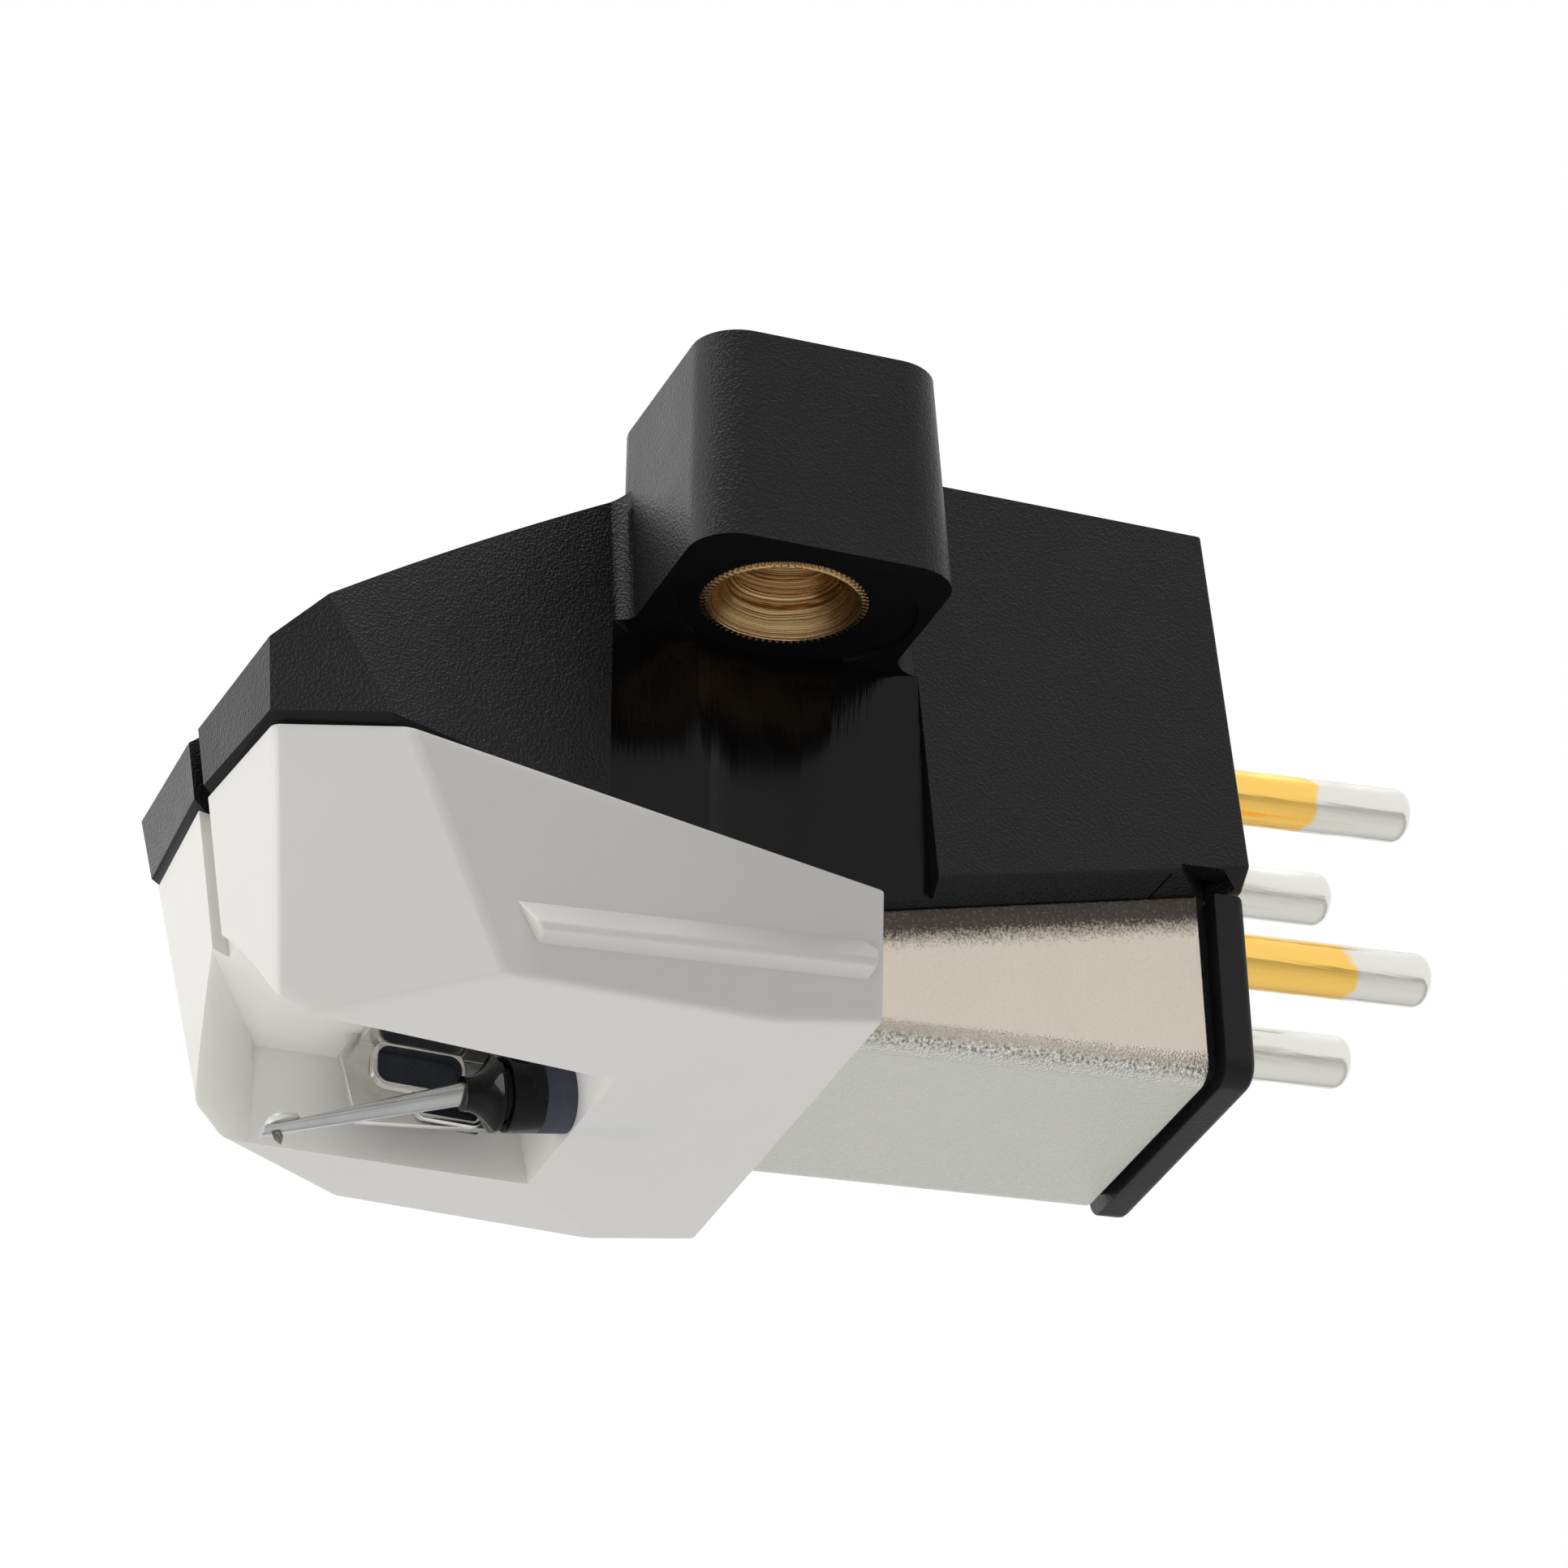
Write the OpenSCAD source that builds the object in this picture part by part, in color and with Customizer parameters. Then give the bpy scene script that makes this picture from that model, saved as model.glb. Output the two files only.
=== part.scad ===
// Moving-magnet stylus cartridge for a half-inch headshell mount.
// Millimetres. +Z is up towards the headshell, the stylus end faces -Y and the pins point to +Y.
// The origin is in the mounting plane, midway between the two fixing screws.

/* [Mounting ears] */
// Distance between the two fixing screws
hole_pitch = 12.7; // [12.5:0.1:12.9]
// Thickness of the ears' wall outside the threaded inserts
ear_wall = 0.96; // [0.8:0.02:1.4]
// Height of the ears, from the mounting plane to their underside
ear_h = 5.2; // [4.8:0.1:5.6]
// Front face of the ears, ahead of the screws
ear_front = 2.95; // [2.7:0.05:3.3]
// Rear face of the ears in the mounting plane, behind the screws
ear_back = 2.75; // [2.5:0.05:3.1]
// Backward lean of the ears' rear face in degrees
ear_lean = 5.5; // [3:0.5:8]
// Radius of the ears' outer corners
ear_round = 1.1; // [0.6:0.1:1.6]
// Radius of the corner between each ear's rear face and the shell
root_r = 0.7; // [0.4:0.1:1]
// Depth of the shallow arc in the front wall of the mounting pad
pad_hollow = 1; // [0.5:0.1:1.5]

/* [Threaded inserts] */
// Outer radius of the brass insert
insert_r = 1.94; // [1.8:0.02:2.1]
// Length of the brass insert
insert_len = 4.4; // [3.6:0.1:4.6]
// Radius of the tapped bore
thread_r = 1.1; // [1:0.05:1.3]
// Radius of the insert's countersunk mouth
mouth_r = 1.68; // [1.5:0.02:1.75]
// Depth of the countersunk mouth
mouth_depth = 0.6; // [0.4:0.05:0.9]
// Radius of the screw's clearance hole above the insert
screw_clear_r = 1.35; // [1.3:0.05:1.5]

/* [Body shell] */
// Half width of the shell at the mounting plane
shell_half_w = 4.2; // [4.1:0.05:4.3]
// Outward draft of the shell's sides in degrees
shell_draft = 2.3; // [1.5:0.1:3]
// Half width of the flat below each ear, at the ear's underside
relief_half_w = 4.4; // [4.36:0.01:4.45]
// Lean of that flat and of the front wall beside it, in degrees
relief_lean = 3; // [1:0.5:3.5]
// Radius of the screw relief cut beside the shell, about the screw axis
relief_r = 2.4; // [2.2:0.02:2.44]
// How far the screw relief is drawn out towards the rear
relief_slot = 0.65; // [0.3:0.05:0.8]
// Rear end of the shell in the mounting plane
shell_back = 11; // [10.8:0.1:11.4]
// Backward lean of the shell's rear face in degrees
shell_back_lean = 7; // [6:0.5:8]
// Rise of the shell's underside towards the rear, in degrees
ledge_rise = 13.4; // [12.5:0.1:14.5]
// Depth of the shell's underside below the mounting plane, at the screws
ledge_depth = 11.8; // [11.6:0.05:12]
// Slope of the bevel along the lower side edges, in degrees
ledge_bevel = 32; // [25:1:45]
// Depth of the nose's top edge below the mounting plane
nose_top_depth = 7.6; // [7.4:0.05:7.8]
// Depth of the nose's top surface at the front of the mounting pad
nose_root_depth = 1.65; // [1.5:0.05:2.2]
// Radius of the nose's arched top surface
nose_arch_r = 110; // [60:5:200]
// Height of the bevelled lip round the nose's underside
lip_h = 0.3; // [0.2:0.05:0.4]

/* [Facets of the nose] */
// Distance of the front facets from the origin
front_dist = 12.63; // [12.5:0.01:12.8]
// Sweep of each front facet, in degrees from straight across
front_sweep = 3.5; // [2:0.5:8]
// Undercut of the front facets in degrees
front_under = 8; // [6:0.2:12]
// Distance of the corner facets from the origin
corner_dist = 12.25; // [12.1:0.05:12.4]
// Direction of the corner facets, in degrees from the side
corner_turn = 37; // [35:0.5:41]
// Undercut of the corner facets in degrees
corner_under = 14.7; // [13:0.1:16]
// How far the shell's facets stand out beyond the stylus holder's
nose_proud = 0.08; // [0:0.01:0.15]
// Taper of the shell's sides ahead of the ears, in degrees
side_taper = 9.5; // [8:0.1:11]
// Outward draft of those sides in degrees
side_draft = 9.4; // [8:0.1:10.5]
// Width of the centre groove down the nose
groove_w = 0.7; // [0.5:0.05:1]
// Depth of the centre groove
groove_depth = 0.4; // [0.2:0.05:0.6]

/* [Stylus holder] */
// Half width of the stylus holder
holder_half_w = 6.15; // [5.9:0.05:6.4]
// Rear face of the holder
holder_back = 2.6; // [2.2:0.1:3]
// Depth of the holder's flat underside below the mounting plane
holder_depth = 15.88; // [15.8:0.02:16]
// Depth of the parting line at the middle of the nose
seam_depth = 9.28; // [9.2:0.02:9.4]
// Fall of the parting line towards the rear, in degrees
seam_fall = 9.66; // [9:0.1:10.4]
// Running gap between the holder and the body
holder_gap = 0.06; // [0.04:0.01:0.1]
// Rise of the underside towards the sides, in degrees
belly_rise = 7.9; // [7:0.1:9]
// Rise of the rear panel of the underside, in degrees
rear_rise = 9.8; // [9:0.1:10.6]
// Half width of the opening at its front
open_half_front = 3.29; // [3:0.05:3.5]
// Half width of the opening at its rear
open_half_back = 2.93; // [2.7:0.05:3.1]
// Rear edge of the opening
open_back = 2.55; // [2.4:0.05:2.7]
// Depth of the opening's ceiling below the mounting plane
ceiling_depth = 13.4; // [13.2:0.05:13.6]
// Forward face of the roomy part of the opening
ceiling_front = 9.03; // [8.8:0.05:9.2]
// Depth of the front notch's tip below the mounting plane
notch_depth = 12.7; // [12.5:0.05:13]
// Height of the grip bars on the sides
grip_h = 1; // [0.8:0.05:1.2]
// How far the grip bars stand out
grip_out = 0.42; // [0.3:0.02:0.6]
// Height of the grip bars' lower edge, below the screws along the generator
grip_depth = 14.12; // [13.9:0.02:14.2]
// Length of the grip bars
grip_len = 8.2; // [7:0.1:8.5]

/* [Generator] */
// Tilt of the generator and the pins against the mounting plane, in degrees
gen_tilt = 4.1; // [3.6:0.1:4.6]
// Half width of the shield can
can_half_w = 3.86; // [3.8:0.01:3.9]
// Depth of the can's bottom
can_depth = 14.5; // [14.4:0.02:14.6]
// Depth of the can's upper edge inside the shell
can_top = 8; // [7.8:0.1:8.4]
// Front end of the can, ahead of the screws
can_front = 1.7; // [1.5:0.05:1.9]
// Rear end of the can
can_back = 10.33; // [10.1:0.01:10.4]
// Thickness of the can's sheet
can_wall = 0.3; // [0.2:0.02:0.4]
// Outer bend radius of the can
can_bend = 0.55; // [0.4:0.05:0.7]
// Inner face of the rear plate
plate_front = 10.62; // [10.5:0.02:10.7]
// Thickness of the rear plate
plate_t = 0.76; // [0.6:0.02:1]
// How far the rear plate stands out beyond the can
plate_over = 0.3; // [0.2:0.02:0.4]
// Corner radius of the rear plate
plate_round = 0.6; // [0.4:0.05:0.9]
// Length of the terminal block in the can's rear end
block_len = 2; // [1.6:0.1:2.4]
// Thickness of the screen between the two channels
screen_t = 0.3; // [0.2:0.05:0.5]
// Radius of each coil
coil_r = 1.5; // [1.3:0.05:1.6]
// Length of each coil
coil_len = 4.4; // [4:0.1:4.8]
// Thickness of the pole laminations
pole_t = 0.4; // [0.3:0.05:0.5]
// Distance from the middle plane to the poles' inner faces
pole_in = 1.35; // [1.3:0.02:1.45]
// How far the poles stand out of the can's front end
pole_reach = 1; // [0.8:0.05:1.1]
// Height of the poles' front ends
pole_h = 1; // [0.8:0.05:1.1]
// Height of the poles' cores in the coils
core_h = 1; // [0.8:0.05:1.2]

/* [Pins] */
// Radius of the contact pins
pin_r = 0.63; // [0.58:0.01:0.66]
// Width of the pins' square shanks inside the body
shank_w = 0.8; // [0.6:0.02:0.86]
// Sideways distance from the middle plane to a pin
pin_x = 2.33; // [2.2:0.02:2.5]
// Depth of the upper pins below the screws, along the generator
pin_high = 6.45; // [6.3:0.05:6.6]
// Depth of the lower pins
pin_low = 10.66; // [10.62:0.01:10.8]
// Rear end of the upper pins
pin_high_end = 16.45; // [16:0.05:17]
// Rear end of the lower pins
pin_low_end = 16.62; // [16:0.02:17]
// Radius of the pins' rounded ends
pin_round = 0.35; // [0.2:0.05:0.5]

/* [Suspension] */
// Pivot of the stylus arm, ahead of the screws
pivot_front = 4; // [3.9:0.02:4.1]
// Depth of the pivot below the mounting plane
pivot_depth = 15.19; // [15.1:0.01:15.24]
// Fall of the suspension's axis towards the stylus, in degrees
arm_tilt = 9.8; // [9:0.2:10.6]
// Outer radius of the suspension sleeve
sleeve_r = 0.87; // [0.84:0.01:0.9]
// Bore radius of the suspension sleeve and of its plug
sleeve_bore = 0.66; // [0.64:0.01:0.7]
// Length of the sleeve ahead of the pivot
sleeve_front = 0.17; // [0.14:0.01:0.2]
// Length of the sleeve behind the pivot
sleeve_back = 0.6; // [0.5:0.02:0.7]
// Rear end of the sleeve's plug, behind the pivot
plug_back = 1.9; // [1.8:0.05:2]
// Rear end of the suspension wire's anchor, behind the pivot
wire_back = 0.5; // [0.4:0.05:0.6]
// Radius of the suspension wire
wire_r = 0.06; // [0.05:0.005:0.08]
// Radius of the damper ring
damper_r = 0.6; // [0.58:0.01:0.62]
// Thickness of the bracket plate
bracket_t = 0.22; // [0.18:0.01:0.26]
// Width of the rims round the bracket's windows
rim_w = 0.12; // [0.08:0.01:0.16]
// How far the rims stand out
rim_out = 0.15; // [0.1:0.01:0.2]
// Outer half width of the bracket
bracket_half_w = 2.05; // [1.9:0.05:2.3]
// Front end of the bracket's side plate, ahead of the screws
bracket_front = 7.1; // [6.9:0.05:7.3]
// Height of the side plate's foot above the holder's underside, in front
bracket_foot = 0.3; // [0.2:0.02:0.4]
// Length of the upper window
window_len = 2; // [1.8:0.05:2.2]
// Height of the upper window
window_h = 0.9; // [0.8:0.02:1]
// Length of the lower window
slit_len = 1.35; // [1.2:0.05:1.5]
// Height of the lower window
slit_h = 0.34; // [0.3:0.02:0.4]

/* [Stylus arm] */
// Largest radius of the armature hub
hub_r = 0.87; // [0.84:0.01:0.9]
// Radius of the hub's neck
neck_r = 0.4; // [0.34:0.01:0.48]
// Thickness of the hub's rim
hub_rim = 0.1; // [0.06:0.01:0.16]
// Rear face of the hub, ahead of the pivot
hub_back = 0.35; // [0.33:0.01:0.4]
// Front end of the hub, ahead of the pivot
hub_front = 1.14; // [1.05:0.01:1.2]
// Radius of the armature rod
rod_r = 0.28; // [0.24:0.01:0.3]
// Rear end of the armature rod, behind the pivot
rod_back = 2.8; // [2.7:0.02:2.85]
// Thickness of the two magnets
magnet_t = 0.5; // [0.4:0.02:0.55]
// Outer end of the magnets, from the rod's axis
magnet_out = 1.15; // [1:0.02:1.2]
// Lean of each magnet from upright, in degrees
magnet_lean = 40; // [36:1:44]
// Fall of the cantilever tube towards the tip, in degrees
tube_fall = 21; // [20:0.2:22]
// Outer radius of the cantilever tube
tube_r = 0.25; // [0.22:0.01:0.27]
// Wall of the cantilever tube
tube_wall = 0.05; // [0.04:0.01:0.07]
// Length of the round part of the tube, from the hub's front
tube_len = 3.95; // [3.8:0.05:4.1]
// Length of the tube's seat in the hub
tube_seat = 0.2; // [0.15:0.01:0.25]
// Length of the flattened tip
flat_len = 0.75; // [0.65:0.05:0.9]
// Length over which the tube is squeezed flat
squeeze_len = 0.35; // [0.25:0.05:0.45]
// Width of the flattened tip
flat_w = 0.62; // [0.5:0.02:0.7]
// Thickness of the flattened tip
flat_t = 0.2; // [0.16:0.01:0.24]
// Radius of the stylus shank
shank_r = 0.14; // [0.12:0.01:0.16]
// Length of the stylus below the flattened tip
stylus_len = 0.28; // [0.26:0.01:0.34]
// Radius of the adhesive bead over the stylus
bead_r = 0.3; // [0.24:0.01:0.34]

/* [Hidden] */
$fn = 64;

// Longer than the whole cartridge, for cuts that run right through
far = 40;
hole_x = hole_pitch / 2;
ear_half = hole_x + insert_r + ear_wall;

function dir(turn, rise) = [cos(rise) * cos(turn), cos(rise) * sin(turn), sin(rise)];
// A plane is its outward normal and its distance from the origin
function plane_of(turn, rise, dist) = [dir(turn, rise), dist];
function plane_at(turn, rise, p) = [dir(turn, rise), dir(turn, rise) * p];
function shifted(plane, d) = [plane[0], plane[1] + d];
// A bevel plane through the line that two planes share
function bevel_of(a, b) = [a[0] + b[0], a[1] + b[1]];

front_plane = plane_of(front_sweep - 90, -front_under, front_dist);
corner_plane = plane_of(-corner_turn, -corner_under, corner_dist);
// The relief below each ear, at the ear's underside
relief_front = 3.38;
relief_back = ear_back + root_r;
side_plane = plane_at(side_taper, side_draft, [relief_half_w, -relief_front, -ear_h]);

// The parting line's plane, facing down, and the nose's reach at its height
nose_reach = 11.45;
seam_plane = plane_at(-90, seam_fall - 90, [0, -nose_reach, -seam_depth]);
seam_up = plane_at(90, 90 - seam_fall, [0, -nose_reach, -seam_depth - holder_gap]);
rear_face = plane_at(90, shell_back_lean, [0, shell_back, 0]);
shell_side = plane_at(0, shell_draft, [shell_half_w, 0, 0]);
ledge_plane = plane_at(90, -90 + ledge_rise, [0, 0, -ledge_depth]);
bevel_normal = sin(ledge_bevel) * dir(0, 0) + cos(ledge_bevel) * ledge_plane[0];
ledge_edge = [bevel_normal, bevel_normal * [can_half_w + 0.07, 0, -ledge_depth]];
// Where the shell's underside meets the parting line
ledge_start = (ledge_depth - seam_depth - nose_reach * tan(seam_fall))
    / (tan(ledge_rise) + tan(seam_fall));
ledge_end = shell_back + far / 4;

// The nose's top arch through its root and its tip
arch_root = [-ear_front, -nose_root_depth];
arch_tip = [-11.65, -nose_top_depth];
arch_mid = (arch_root + arch_tip) / 2;
arch_chord = norm(arch_root - arch_tip);
arch_drop = sqrt(nose_arch_r * nose_arch_r - arch_chord * arch_chord / 4);
arch_turn = atan2(arch_root[1] - arch_tip[1], arch_root[0] - arch_tip[0]);
arch_centre = arch_mid + arch_drop * [sin(arch_turn), -cos(arch_turn)];

// The relief's three walls: the leaning flat and the two drafted ends
relief_inside = plane_at(180, relief_lean, [relief_half_w, 0, -ear_h]);
relief_fore = plane_at(-90, relief_lean, [0, -relief_front, -ear_h]);
relief_aft = plane_at(90, ear_lean, [0, relief_back, 0]);

holder_top = seam_up;
belly_plane = plane_at(0, -90 + belly_rise, [open_half_back, 0, -holder_depth]);
rear_panel = plane_at(90, -90 + rear_rise, [0, -open_back, -holder_depth]);

// The suspension's own frame: origin at the pivot, +Y to the rear along its axis
pivot = [0, -pivot_front, -pivot_depth];
// The pivot in the generator's frame
pivot_y = -pivot_front * cos(gen_tilt) - pivot_depth * sin(gen_tilt);
pivot_z = pivot_front * sin(gen_tilt) - pivot_depth * cos(gen_tilt);
room_front = pivot_y + plug_back * cos(arm_tilt - gen_tilt) - 0.05;
room_floor = pivot_z - 0.4;

// The opening's rear wall leans forward as it rises; the bracket's rear end stays clear of it
bracket_back = open_back + (holder_depth - ceiling_depth) * tan(11) + 0.03;
plate_back = plate_front + plate_t;
// The pins' wide part starts just clear of the shell and the rear plate
pin_start = plate_back + 0.02;
tip_end = tube_len + squeeze_len + flat_len;
plate_half_w = can_half_w + plate_over;
plate_depth = can_depth + 0.1;
// Height at which the shell's underside meets the rear plate
plate_top = 9.95;
coil_front = 0.6;
coil_x = can_half_w - can_wall - coil_r - 0.15;
coil_z = -can_depth + can_wall + coil_r + 0.6;
pole_z = -can_depth + can_wall + 0.05;

module both() {
    children();
    mirror([1, 0, 0]) children();
}

// Everything beyond a plane
module beyond(plane) {
    n = plane[0];
    size = norm(n);
    turn = atan2(n[1], n[0]);
    rise = asin(n[2] / size);
    rotate([0, -rise, turn])
        translate([plane[1] / size, -far, -far])
            cube([far, 2 * far, 2 * far]);
}

// A solid that runs along Y, from its outline seen from the front
module along_y(y0, y1) {
    translate([0, y1, 0])
        rotate([90, 0, 0])
            linear_extrude(y1 - y0)
                children();
}

// A solid across the part, from its outline seen from the side (Y, Z)
module across(half) {
    translate([-half, 0, 0])
        rotate([90, 0, 90])
            linear_extrude(2 * half)
                children();
}

module rounded_box_plan(half, y0, y1, r) {
    for (side = [-1, 1], y = [y0 + r, y1 - r])
        translate([side * (half - r), y])
            circle(r);
    translate([-half, y0 + r])
        square([2 * half, y1 - y0 - 2 * r]);
    translate([-half + r, y0])
        square([2 * (half - r), y1 - y0]);
}

module in_generator() {
    rotate([gen_tilt, 0, 0])
        children();
}

module in_suspension() {
    translate(pivot)
        rotate([arm_tilt, 0, 0])
            children();
}

// The cantilever's frame: origin at the hub's front, -Y along the tube
module in_tube() {
    in_suspension()
        translate([0, -hub_front, 0])
            rotate([tube_fall - arm_tilt, 0, 0])
                children();
}

module ears() {
    intersection() {
        translate([0, 0, -ear_h])
            linear_extrude(ear_h)
                rounded_box_plan(ear_half, -ear_front, 3 * ear_back, ear_round);
        rotate([ear_lean, 0, 0])
            translate([0, 0, -2 * ear_h])
                linear_extrude(3 * ear_h)
                    rounded_box_plan(ear_half, -3 * ear_front, ear_back, ear_round);
    }
}

// The arc that hollows the front wall of the pad between the ears
module pad_arc() {
    half = shell_half_w - 0.6;
    r = (half * half + pad_hollow * pad_hollow) / (2 * pad_hollow);
    translate([0, -ear_front + pad_hollow - r, -ear_h])
        cylinder(r = r, h = 2 * ear_h);
}

module rear_block() {
    difference() {
        across(shell_half_w + 1)
            polygon([
                [-relief_front, -nose_root_depth - 0.4],
                [-ear_front + pad_hollow, -nose_root_depth],
                [-ear_front + pad_hollow, 0],
                [ledge_end, 0],
                [ledge_end, ledge_end * tan(ledge_rise) - ledge_depth],
                [ledge_start, ledge_start * tan(ledge_rise) - ledge_depth],
                [-relief_front, -seam_depth - (nose_reach - relief_front) * tan(seam_fall)]
            ]);
        both() beyond(shell_side);
        both() beyond(ledge_edge);
        beyond(rear_face);
    }
}

module nose_block() {
    intersection() {
        difference() {
            translate([-far / 2, -far / 2, -far / 2])
                cube([far, far / 2 - relief_front + 0.6, far / 2]);
            for (facet = [shifted(front_plane, nose_proud), shifted(corner_plane, nose_proud), side_plane])
                both() {
                    beyond(facet);
                    beyond(bevel_of(shifted(facet, -lip_h / 2), shifted(seam_plane, -lip_h / 2)));
                }
            beyond(seam_plane);
            nose_groove(nose_proud);
        }
        translate([0, arch_centre[0], arch_centre[1]])
            rotate([0, 90, 0])
                cylinder(r = nose_arch_r, h = far, center = true, $fn = 180);
    }
}

// The centre groove, a slot behind the line where the two front facets meet
module nose_groove(proud) {
    rotate([front_under, 0, 0])
        translate([-groove_w / 2, groove_depth - (front_dist + proud) / cos(front_sweep) - far, -far])
            cube([groove_w, far, 2 * far]);
}

// The can's space in the shell, and its outline for the sheet itself
module can_outline(half, depth, bend) {
    translate([0, -depth])
        rounded_box_plan(half, 0, depth - can_top + 2 * bend, bend);
}

module insert_seat() {
    translate([hole_x, 0, -ear_h - 1])
        cylinder(r = insert_r, h = insert_len + 1);
    translate([hole_x, 0, -ear_h])
        cylinder(r = screw_clear_r, h = 2 * ear_h);
}

// The rounded corner between an ear's rear face and the shell's side
module root_fillet() {
    size = root_r + 0.3;
    intersection() {
        rotate([ear_lean, 0, 0])
            translate([relief_half_w + root_r, ear_back + root_r, -2 * ear_h])
                linear_extrude(3 * ear_h)
                    difference() {
                        translate([-size, -size])
                            square(size);
                        circle(root_r);
                    }
        translate([0, 0, -ear_h])
            cube([far, far, ear_h]);
    }
}

// The screw's relief in the shell's side: a leaning flat below the ear and a round-ended channel in it
module screw_relief() {
    difference() {
        translate([shell_half_w - 1, -2 * relief_front, -far / 2 - ear_h])
            cube([far, far, far / 2]);
        beyond(relief_inside);
        beyond(relief_fore);
        beyond(relief_aft);
    }
    for (y = [0, relief_slot])
        translate([hole_x, y, -far / 2 - ear_h])
            cylinder(r = relief_r, h = far / 2);
    translate([hole_x - relief_r, 0, -far / 2 - ear_h])
        cube([relief_r, relief_slot, far / 2]);
}

module body_shell() {
    color([0.05, 0.05, 0.055])
        difference() {
            union() {
                difference() {
                    ears();
                    pad_arc();
                }
                difference() {
                    union() {
                        rear_block();
                        nose_block();
                    }
                    both() screw_relief();
                }
                both() root_fillet();
            }
            both() insert_seat();
            in_generator() {
                translate([-can_half_w, -can_front, -can_depth])
                    cube([2 * can_half_w, can_front + plate_front, can_depth - can_top]);
                translate([-far / 2, plate_front, -can_depth - 1])
                    cube([far, far, can_depth + 1 - plate_top]);
                both() pin_hole(pin_high);
            }
        }
}

module thread_insert() {
    color([0.72, 0.55, 0.3])
        translate([hole_x, 0, -ear_h])
            rotate_extrude()
                polygon([
                    [mouth_r, 0], [insert_r, 0], [insert_r, insert_len],
                    [thread_r, insert_len], [thread_r, mouth_depth]
                ]);
}

// A U of bent sheet: bottom, two sides and the rounded bends between them
module shield_can() {
    color([0.78, 0.76, 0.72])
        in_generator()
            along_y(-can_front, can_back)
                difference() {
                    can_outline(can_half_w, can_depth, can_bend);
                    can_outline(can_half_w - can_wall, can_depth - can_wall, can_bend - can_wall);
                    translate([-can_half_w, -can_top])
                        square([2 * can_half_w, 4 * can_bend]);
                }
}

module rear_plate() {
    color([0.05, 0.05, 0.055])
        in_generator()
            difference() {
                along_y(plate_front, plate_back)
                    intersection() {
                        translate([0, -plate_depth])
                            rounded_box_plan(plate_half_w, 0, plate_depth, plate_round);
                        translate([-far / 2, -far - plate_top])
                            square([far, far]);
                    }
                both() pin_hole(pin_low);
            }
}

module terminal_block() {
    color([0.06, 0.06, 0.065])
        in_generator()
            difference() {
                along_y(plate_front - block_len, plate_front)
                    can_outline(can_half_w - can_wall, can_depth - can_wall, can_bend - can_wall);
                translate([-far / 2, -far / 2, -can_top])
                    cube([far, far, far]);
                both() pin_hole(pin_low);
            }
}

// The hole that a pin's shank is pressed into
module pin_hole(depth) {
    translate([pin_x - shank_w / 2, plate_front - block_len, -depth - shank_w / 2])
        cube([shank_w, far, shank_w]);
}

// A pin with a square shank inside the body and a rounded end outside
module pin(end, depth) {
    color([0.85, 0.62, 0.25])
        in_generator() {
            translate([pin_x - shank_w / 2, plate_front - block_len, -depth - shank_w / 2])
                cube([shank_w, pin_start - plate_front + block_len + 0.1, shank_w]);
            translate([pin_x, end, -depth])
                rotate([90, 0, 0])
                    rotate_extrude() {
                        translate([0, pin_round])
                            square([pin_r, end - pin_start - pin_round]);
                        square([pin_r - pin_round, pin_round]);
                        translate([pin_r - pin_round, pin_round])
                            intersection() {
                                circle(pin_round);
                                translate([0, -pin_round])
                                    square(pin_round);
                            }
                    }
        }
}

module upper_pin() {
    pin(pin_high_end, pin_high);
}

module lower_pin() {
    pin(pin_low_end, pin_low);
}

module screen_plate() {
    color([0.7, 0.7, 0.68])
        in_generator()
            translate([-screen_t / 2, -can_front + 0.6, -can_depth + can_wall])
                cube([screen_t, plate_front - block_len + can_front - 0.6, can_depth - can_wall - can_top]);
}

// A lamination that reaches from beside the magnets back through its coil
module pole() {
    color([0.62, 0.62, 0.6])
        in_generator() {
            translate([pole_in, -can_front - pole_reach, pole_z])
                cube([pole_t, can_front + pole_reach + coil_front - 0.1, pole_h]);
            translate([pole_in, 0, pole_z])
                cube([coil_x + pole_t / 2 - pole_in, coil_front - 0.1, coil_z + core_h / 2 - pole_z]);
            translate([coil_x - pole_t / 2, 0, coil_z - core_h / 2])
                cube([pole_t, coil_front + coil_len + 0.3, core_h]);
        }
}

module coil() {
    color([0.7, 0.35, 0.15])
        in_generator()
            difference() {
                translate([coil_x, coil_front, coil_z])
                    rotate([-90, 0, 0])
                        cylinder(r = coil_r, h = coil_len);
                translate([coil_x - pole_t / 2, 0, coil_z - core_h / 2])
                    cube([pole_t, far, core_h]);
            }
}

// The grip bar: a prism along the generator with a slanted top and a pointed front end
module grip_bar() {
    back = 1.3;
    in_generator()
        difference() {
            along_y(back - grip_len, back)
                polygon([
                    [holder_half_w - 0.5, -grip_depth + grip_h],
                    [holder_half_w, -grip_depth + grip_h],
                    [holder_half_w + grip_out, -grip_depth + 0.35],
                    [holder_half_w + grip_out, -grip_depth + 0.15],
                    [holder_half_w, -grip_depth],
                    [holder_half_w - 0.5, -grip_depth]
                ]);
            translate([0, back - grip_len, -grip_depth + 0.6 * grip_h])
                rotate([-30, 0, 0])
                    translate([0, -2, -0.5])
                        cube([far, 2, 3]);
            translate([holder_half_w, back - grip_len, -grip_depth])
                rotate([0, 0, -40])
                    translate([-1, -3, -1])
                        cube([3, 3, 3]);
        }
}

// The notch seen from the front, open below
module notch_outline(half, depth) {
    polygon([
        [-half, -depth], [half, -depth],
        [open_half_front, -holder_depth], [open_half_front, -far],
        [-open_half_front, -far], [-open_half_front, -holder_depth]
    ]);
}

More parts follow.
